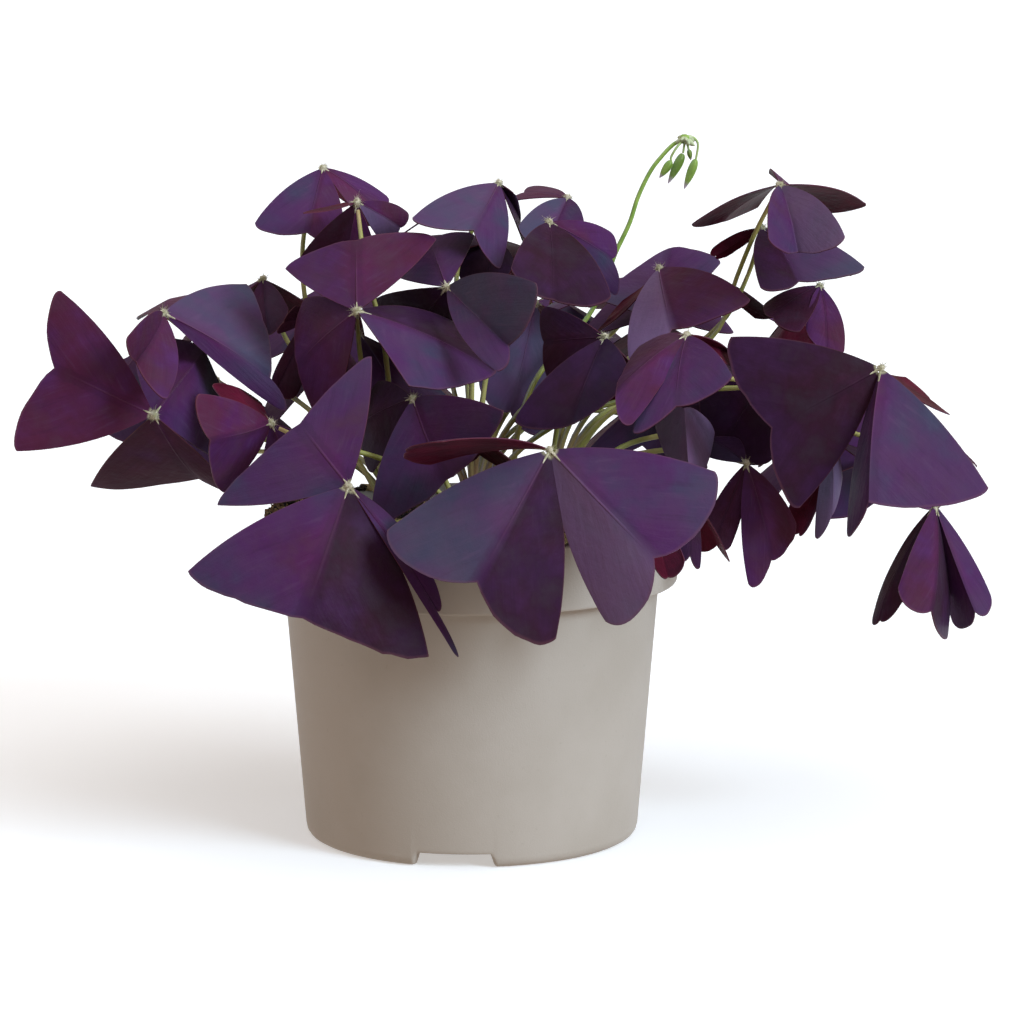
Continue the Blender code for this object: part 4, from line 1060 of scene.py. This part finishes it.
def crown_part(number):
    """A mound: radius falls to nothing as it rises, with lumps for scales."""
    x, y = CROWNS[number]
    rows, sides = 9, 28
    rise = np.linspace(0, math.pi / 2, rows)[:-1, None]
    turn = round_turns(sides)[None]
    reach = (CROWN_RADIUS - 0.0003) * np.cos(rise) * (1 + 0.06 * np.sin(5 * turn + 9 * rise))
    height = (CROWN_STAND - 0.0001) * np.sin(rise) + 0 * turn
    height = np.concatenate([np.full((1, sides), -CROWN_SUNK), height])
    reach = np.concatenate([reach[:1], reach])
    grid = np.stack([x + reach * np.cos(turn), y + reach * np.sin(turn), ground(x, y) + height], -1)
    first, last = end_rings(rows, sides)
    return part(grid, grid_quads(rows, sides, closed=True)[:, ::-1].tolist() + [first[::-1], last])


for number in sorted({crown for crown, _ in stalks.values()}):
    paths = [smooth_path(path, STALK_RINGS) for crown, path in stalks.values() if crown == number]
    radii = np.interp(np.linspace(0, 1, STALK_RINGS), *STALK_RADII)
    parts = [crown_part(number)] + [tube_part(path, radii, 9, wobble=0.05) for path in paths]
    add_piece(f"leaf_stalks_{number}", parts, [STALK_FINISH], "stalk", f"stalks_{number}")
print("stalks and crowns made")

# %% [markdown]
# The flower stalk is fresh green and carries a nodding head: a few closed buds, each in green
# sepals with a lilac tip, on thin threads from one small knot of bracts.

# %% Finish of the flower stalk
def flower_finish():
    """Green by patches; the kept shade, old, pale and tip darken, yellow, whiten and turn it lilac."""
    green = Finish("Flower stalk", Roughness=0.45)
    tip = green.kept("tip")
    patches = green.noise(260, 2.0)
    fresh = green.blend(patches.smooth(0.3, 0.7), (0.190, 0.350, 0.050), (0.300, 0.480, 0.090))
    young = green.blend(green.kept("shade"), fresh, (0.050, 0.110, 0.020))
    old = green.blend(green.kept("old"), young, (0.270, 0.220, 0.040))
    pale = green.blend(green.kept("pale"), old, (0.520, 0.600, 0.420))
    green.paint(Base_Color=green.blend(tip.smooth(0.70, 0.92), pale, (0.500, 0.430, 0.560)))
    green.relief(green.noise(1800, 2.0), 0.0001)
    return green.material


FLOWER_FINISH = flower_finish()


# %% Buds and bracts
def bud_axes(high, low):
    """The way down a bud and two directions square to it."""
    way = unit(low - high)
    side = unit(np.cross(way, [0.2, 0.9, 0.3]))
    return way, side, np.cross(way, side)


def bud_part(high, low, radius, ridges=5, fold=0.10, lilac=1.0, **values):
    """A drop between two points: radius times 2.36 t ** 0.45 (1 - t) ** 0.9, with lengthwise folds."""
    rows, sides = 22, 20
    t = np.linspace(0.02, 0.985, rows)[:, None]
    turn = round_turns(sides)[None]
    _, side, other = bud_axes(high, low)
    reach = radius * 2.36 * t ** 0.45 * (1 - t) ** 0.9 * (1 + fold * np.cos(ridges * turn))
    grid = (high + (low - high) * t[..., None]
            + reach[..., None] * (np.cos(turn)[..., None] * side + np.sin(turn)[..., None] * other))
    first, last = end_rings(rows, sides)
    quads = grid_quads(rows, sides, closed=True)[:, ::-1].tolist()
    return part(grid, quads + [first[::-1], last], tip=np.repeat(t[:, 0], sides) * lilac, **values)


def sepal_parts(high, low, radius, **values):
    """Five pointed scales on a bud: thin drops laid against its upper half."""
    way, side, other = bud_axes(high, low)
    length = np.linalg.norm(low - high)
    made = []
    for turn in np.arange(5) * 2 * math.pi / 5:
        out = math.cos(turn) * side + math.sin(turn) * other
        start = high + way * length * 0.04 + out * radius * 0.35
        ahead = high + way * length * (0.72 + 0.12 * math.sin(5 * turn)) + out * radius * 0.62
        made.append(bud_part(start, ahead, radius * 0.42, 2, 0.2, **values))
    return made


BUDS_APART = 0.0015
BUD_SHADES = (0.40, 0.85, 0.30, 0.80)
HEAD_RADIUS = 0.0015
BRACTS = 11


def flower_parts():
    """The stalk, a thread and a bud with sepals for each flower, and pale bracts round the head."""
    count, sides = 90, 14
    path = smooth_path(scape_path(), count)
    old = np.repeat(np.clip(1.25 - np.linspace(0, 1, count) * 2.2, 0, 1), sides)
    parts = [tube_part(path, np.linspace(0.00088, 0.00058, count), sides, tip=0.0, old=old)]
    for number, spots in enumerate(PEDICELS):
        line = [seen_at(spot, SCAPE_DEPTH) + np.array([0, BUDS_APART * (number - 1.5) * min(k, 1), 0])
                for k, spot in enumerate(spots)]
        radii = np.linspace(0.00042, 0.00032, 17)
        parts.append(tube_part(smooth_path(line, len(radii)), radii, 8, tip=0.3, pale=0.3))
    for number, (high, low, radius) in enumerate(BUDS):
        shove = np.array([0, BUDS_APART * (number - 1.5), 0])
        high, low = seen_at(high, SCAPE_DEPTH) + shove, seen_at(low, SCAPE_DEPTH) + shove
        low = low + 0.10 * (low - high)
        shade = BUD_SHADES[number]
        parts += [bud_part(high, low, radius * 0.74, shade=shade * 0.6)]
        parts += sepal_parts(high, low, radius * 0.80, shade=shade)
    head = path[-1]
    parts.append(knot_part(head, HEAD_RADIUS, 40, 0))
    for number in range(BRACTS):
        turn = number * 2.4
        out = np.array([math.cos(turn), math.sin(turn), 0.30 - 0.17 * number % 0.9])
        reach = 0.0025 + 0.0005 * (number % 3)
        parts.append(bud_part(head + out * 0.0004, head + out * reach, 0.00085, 2, 0.1, 0.6,
                              pale=0.8, shade=0.1 * (number % 4)))
    return parts


add_piece("nodding_flower_stalk", flower_parts(), [FLOWER_FINISH], "flower_stalk", "flower_stalk")
print("flower stalk with", len(BUDS), "buds")

# %% [markdown]
# The pot is turned from one profile, with every corner rounded as moulding leaves it. The three
# shallow notches in its foot are not cut: the lower rows of the wall are lifted where a notch
# is, which gives their edges the same soft rounding.

# %% The pot's profile
def rounded(corners, steps=5):
    """A profile with each corner (r, z, size) replaced by a curve that starts and ends size away."""
    spots = np.array([corner[:2] for corner in corners])
    sizes = np.array([corner[2] for corner in corners])[:, None]
    edges = [np.roll(spots, step, axis=0) - spots for step in (1, -1)]
    before, after = (spots + edge * sizes / np.maximum(np.linalg.norm(edge, axis=1, keepdims=True), 1e-9)
                     for edge in edges)
    t = np.linspace(0, 1, steps)[None, :, None]
    curve = (1 - t) ** 2 * before[:, None] + 2 * t * (1 - t) * spots[:, None] + t ** 2 * after[:, None]
    keep = [curve[k] if corners[k][2] else spots[k:k + 1] for k in range(len(corners))]
    return np.concatenate(keep)


STEP = POT_HEIGHT - COLLAR_HEIGHT
FLOOR = FLOOR_LIFT + POT_WALL
RING = BODY_FOOT_RADIUS - 0.0014 - FOOT_RING_WIDTH + 0.001
SOFT = 0.0008
FLOOR_DISC = 0.004
POT_PROFILE = rounded([
    (FLOOR_DISC, FLOOR, 0), (DRAIN_RING, FLOOR, 0), (BODY_FOOT_RADIUS - POT_WALL - 0.0005, FLOOR, SOFT),
    (BODY_TOP_RADIUS - POT_WALL, STEP + 0.0005, SOFT), (RIM_RADIUS - POT_WALL, STEP + 0.0035, SOFT),
    (RIM_RADIUS - POT_WALL + 0.0002, POT_HEIGHT, 0.0005), (RIM_RADIUS, POT_HEIGHT, SOFT),
    (RIM_RADIUS, STEP + 0.012, 0), (RIM_RADIUS, STEP, SOFT), (BODY_TOP_RADIUS, STEP, 0.0003),
    (BODY_TOP_RADIUS + (BODY_FOOT_RADIUS - BODY_TOP_RADIUS) * 0.4, STEP * 0.6, 0),
    (BODY_TOP_RADIUS + (BODY_FOOT_RADIUS - BODY_TOP_RADIUS) * 0.8, STEP * 0.2, 0),
    (BODY_FOOT_RADIUS, 0.0, 0.0032), (RING, 0.0, 0.0004), (RING, FLOOR_LIFT, 0.0004),
    (DRAIN_RING, FLOOR_LIFT, 0), (FLOOR_DISC, FLOOR_LIFT, 0)])
print("pot profile of", len(POT_PROFILE), "points")


# %% The pot's wall, foot and notches
def pot_part():
    """The turned profile: near a notch a point at height z is lifted by (1 - z / H) times its depth.

    H is NOTCH_REACH on the outside and the foot ring's own height inside it, and the notch's depth
    falls from full to nothing by a smooth step, NOTCH_EASE wide. In a notch the rows of the rounded
    foot, up to FOOT_CURVE, are drawn back to the wall's slope by the share PULL_BACK, so that no
    crease runs up from the notch's corners. Columns nearer together than LEAST_TURN are left out.
    """
    near = np.radians(np.linspace(-3.4, 3.4, 25))
    half = NOTCH_WIDTH / 2 / BODY_FOOT_RADIUS
    edges = [math.radians(turn) + side * half + near for turn in NOTCH_TURNS for side in (-1, 1)]
    turn = np.concatenate([np.linspace(0, 2 * math.pi, 217)[:-1]] + edges)
    turn = np.unique(np.round(turn % (2 * math.pi), 5))
    turn = turn[np.concatenate([[True], np.diff(turn) > LEAST_TURN])]
    away = [np.abs((turn - math.radians(t) + math.pi) % (2 * math.pi) - math.pi) for t in NOTCH_TURNS]
    ease = np.clip((half - np.min(away, axis=0)) * BODY_FOOT_RADIUS / NOTCH_EASE + 0.5, 0, 1)
    notch = (3 * ease ** 2 - 2 * ease ** 3)[None]
    reach, height = POT_PROFILE[:, :1], POT_PROFILE[:, 1:]
    inner = (reach < RING + 0.0006) & (height <= FLOOR_LIFT + 1e-6)
    limit = np.where(inner, FLOOR_LIFT, NOTCH_REACH)
    outer = reach > RING - 0.0006
    lift = np.clip(1 - height / limit, 0, 1) * NOTCH_HEIGHT * notch * outer
    foot = np.arange(len(reach))[:, None] > len(reach) // 3
    curved = (height > 0.0001) & (height < FOOT_CURVE) & (reach > RING + 0.0006) & foot
    slope = (BODY_TOP_RADIUS - BODY_FOOT_RADIUS) / STEP
    height = height + lift * foot
    reach = reach + lift * foot * slope
    reach = reach + (BODY_FOOT_RADIUS + height * slope - reach) * notch * curved * PULL_BACK
    grid = np.stack([reach * np.cos(turn), reach * np.sin(turn), height], -1)
    first, last = end_rings(*grid.shape[:2])
    quads = grid_quads(*grid.shape[:2], closed=True)[:, ::-1]
    return part(grid, quads.tolist() + [first, last[::-1]])


def pot_finish():
    """Greige plastic with a fine moulded grain, faint clouds and darker specks."""
    pot = Finish("Moulded plastic", Specular_IOR_Level=0.35)
    clouds = pot.noise(28, 4.0, 0.55)
    specks = pot.noise(900, 2.0)
    colour = pot.blend(clouds.smooth(0.3, 0.7), (0.400, 0.376, 0.342), (0.440, 0.418, 0.388))
    colour = pot.blend(specks.smooth(0.66, 0.78) * 0.25, colour, (0.300, 0.270, 0.235))
    pot.paint(Base_Color=colour, Roughness=0.50 + clouds * 0.12)
    pot.relief(pot.noise(2600, 3.0) * 0.7 + specks * 0.3, 0.00008)
    return pot.material


def drain_holes(piece):
    """Cuts the ring of round drain holes through the pot's floor."""
    sides = 24
    turn = round_turns(sides)
    for number in range(DRAIN_COUNT):
        angle = math.radians(360 / DRAIN_COUNT * number + DRAIN_TURN)
        middle = DRAIN_RING * np.array([math.cos(angle), math.sin(angle)])
        ring = middle + DRAIN_RADIUS * np.stack([np.cos(turn), np.sin(turn)], -1)
        points = [(*spot, z) for z in (-0.002, 0.012) for spot in ring + SHIFT[:2]]
        faces = [[k, (k + 1) % sides, (k + 1) % sides + sides, k + sides] for k in range(sides)]
        mesh = bpy.data.meshes.new("hole")
        low, high = end_rings(2, sides)
        mesh.from_pydata(points, [], faces + [low[::-1], high])
        cutter = bpy.data.objects.new("hole", mesh)
        bpy.context.scene.collection.objects.link(cutter)
        step = piece.modifiers.new("Hole", "BOOLEAN")
        step.operation, step.solver, step.object = "DIFFERENCE", "EXACT", cutter
        bpy.context.view_layer.update()
        graph = bpy.context.evaluated_depsgraph_get()
        piece.data = bpy.data.meshes.new_from_object(piece.evaluated_get(graph))
        piece.modifiers.clear()
        bpy.data.objects.remove(cutter)


pot = add_piece("growers_pot", [pot_part()], [pot_finish()], "pot", "pot", sharp=35)
drain_holes(pot)
print("pot of", len(pot.data.polygons), "faces")

# %% [markdown]
# Potting soil is peat with bits of bark, root and golden fibre. The bed is one lumpy surface
# that reaches down inside the pot, and loose crumbs of a few faces each lie on it and on the rim.

# %% Soil
def soil_finish():
    """Dark peat; the kept number tone runs from black peat over brown bark to golden fibre."""
    soil = Finish("Potting soil", Roughness=0.92, Specular_IOR_Level=0.2)
    tone = soil.kept("tone")
    grain = soil.noise(700, 4.0, 0.65)
    peat = soil.blend(grain.smooth(0.35, 0.7), (0.012, 0.008, 0.005), (0.060, 0.036, 0.018))
    bark = soil.blend(grain.smooth(0.3, 0.7), (0.085, 0.048, 0.020), (0.170, 0.105, 0.045))
    gold = soil.blend(grain.smooth(0.3, 0.7), (0.300, 0.205, 0.080), (0.460, 0.340, 0.160))
    colour = soil.blend(tone.smooth(0.25, 0.55), peat, bark)
    soil.paint(Base_Color=soil.blend(tone.smooth(0.68, 0.9), colour, gold))
    soil.relief(grain, 0.0008)
    return soil.material


SOIL_FINISH = soil_finish()
SOIL_REACH = 0.0577
SCATTER_REACH = 0.0565
HEAP_TURN = math.radians(157)
HEAP_HEIGHT = 0.0022


def soil_part():
    """Rings from the middle out, at the ground's height plus lumps that fade at the wall.

    The last ring reaches down the wall.
    """
    heights = np.array(SOIL_TOP)
    rows, columns = 66, 200
    reach = np.concatenate([np.linspace(0.0004, 0.0572, rows - 2), [SOIL_REACH, SOIL_REACH]])[:, None]
    turn = round_turns(columns)[None]
    top = np.interp(reach, heights[:, 0], heights[:, 1])
    spots = np.stack([reach * np.cos(turn), reach * np.sin(turn), 0 * reach * turn], -1)
    rough = 0.0007 * lumps(spots, 0.010, 5) + 0.0004 * lumps(spots, 0.004, 6)
    rough = rough + 0.0002 * lumps(spots, 0.002, 7)
    height = top + rough * np.clip((SOIL_REACH - reach) / 0.004, 0, 1) - 0.0004
    height[-1] = STEP + 0.0045
    grid = np.stack([reach * np.cos(turn), reach * np.sin(turn), height], -1)
    tone = 0.2 + 0.25 * lumps(spots, 0.003, 8)
    first, last = end_rings(rows, columns)
    quads = grid_quads(rows, columns, closed=True).tolist()
    return part(grid, quads + [first, last[::-1]], tone=tone.ravel())


def crumbs_part(count, spilt, seed):
    """Uneven little balls of 24 faces, scattered evenly by area and stretched into chips.

    The last ones lie heaped on the rim at the back on the left, where soil spilt over in potting.
    """
    chance = np.random.default_rng(seed)
    reach = SCATTER_REACH * np.sqrt(chance.uniform(0, 1, count))
    turn = chance.uniform(0, 2 * math.pi, count)
    heights = np.array(SOIL_TOP)
    rise = np.interp(reach, heights[:, 0], heights[:, 1])
    heaped = np.arange(count) >= count - spilt
    reach = np.where(heaped, SCATTER_REACH + 0.0030 * chance.uniform(0, 1, count), reach)
    turn = np.where(heaped, HEAP_TURN + 0.30 * chance.normal(size=count), turn)
    heap = HEAP_HEIGHT * np.exp(-((turn - HEAP_TURN) / 0.45) ** 2) * chance.uniform(0, 1, count)
    rise = np.where(heaped, POT_HEIGHT + heap, rise)
    centre = np.stack([reach * np.cos(turn), reach * np.sin(turn), rise], -1)
    size = 0.00055 + 0.0009 * chance.uniform(0, 1, count) ** 3
    frames = np.linalg.qr(chance.normal(size=(count, 3, 3)))[0]
    stretch = np.stack([chance.uniform(1, 2.4, count), np.ones(count), chance.uniform(0.4, 0.9, count)], -1)
    rows, sides = 3, 6
    corners = rows * sides + 2
    uneven = chance.uniform(0.75, 1.2, (count, corners, 1))
    shape = ball_points(rows, sides)[None] * uneven * stretch[:, None] * size[:, None, None]
    points = centre[:, None] + np.einsum("nij,npj->npi", frames, shape)
    first, last = end_rings(rows, sides)
    caps = [[first[k], first[k - 1], corners - 2] for k in range(sides)]
    caps += [[last[k - 1], last[k], corners - 1] for k in range(sides)]
    shape_faces = grid_quads(rows, sides, closed=True).tolist() + caps
    faces = [[corner + corners * k for corner in face] for k in range(count) for face in shape_faces]
    return part(points, faces, tone=np.repeat(chance.uniform(0, 1, count), corners))


add_piece("soil_bed", [soil_part()], [SOIL_FINISH], "soil", "soil", sharp=60)
add_piece("soil_crumbs", [crumbs_part(1850, 350, 11)], [SOIL_FINISH], "soil", sharp=35)
print("soil and crumbs made")

# %% [markdown]
# A plain white table and soft studio light. The table shines a little by itself, as a light
# table does, which keeps shadows pale. A front window light stands on the right, so the pot is
# warm and dim on its left, and a bluish softbox on the left gives the leaves sheen, on top of
# the sheen painted into the blades.

# %% Floor
def floor_sheet():
    """A flat grid 14 m wide, at height 0, with a faint paper tone."""
    x, y = np.meshgrid(np.linspace(-7, 7, 9), np.linspace(-4, 10, 9))
    mesh = bpy.data.meshes.new("floor")
    points = np.stack([x.ravel(), y.ravel(), np.zeros(81)], -1)
    mesh.from_pydata(points.tolist(), [], grid_quads(9, 9)[:, ::-1].tolist())
    paper = Finish("Pale floor", Roughness=0.9, Specular_IOR_Level=0.1, Emission_Color=(1, 1, 1, 1),
                   Emission_Strength=0.37)
    paper.paint(Base_Color=paper.blend(paper.noise(3, 2.0), (0.74, 0.80, 0.86), (0.76, 0.82, 0.88)))
    mesh.materials.append(paper.material)
    floor = bpy.data.objects.new("floor", mesh)
    bpy.context.scene.collection.objects.link(floor)
    floor.visible_diffuse = False
    floor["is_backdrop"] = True


floor_sheet()
print("floor laid")

# %% Lights
def lamp_at(name, kind, spot, colour, strength):
    """A light at a spot, aimed at the middle of the plant."""
    light = bpy.data.lights.new(name, kind)
    light.energy, light.color = strength, colour
    lamp = bpy.data.objects.new(name, light)
    bpy.context.scene.collection.objects.link(lamp)
    lamp.location = spot
    lamp.rotation_euler = (Vector((0, 0, 0.1)) - Vector(spot)).to_track_quat("-Z", "Y").to_euler()
    return lamp


lamp_at("Window light", "SUN", (2.0, -1.7, 1.5), (0.77, 0.90, 1.0), 2.6).data.angle = math.radians(24)
lamp_at("Ceiling light", "SUN", (0.5, -0.2, 2.0), (0.95, 0.97, 1.0), 1.1).data.angle = math.radians(80)
sheen = lamp_at("Cool softbox", "AREA", (-1.3, -0.35, 1.35), (0.42, 0.58, 1.0), 28)
sheen.data.size = 1.2
sheen.visible_diffuse = False
sheen.data.use_shadow = False
world = bpy.data.worlds.new("Studio")
world.use_nodes = True
world.node_tree.nodes["Background"].inputs["Color"].default_value = (1.0, 0.79, 0.64, 1)
world.node_tree.nodes["Background"].inputs["Strength"].default_value = 0.52
bpy.context.scene.world = world
bpy.context.scene.view_settings.view_transform = "Standard"
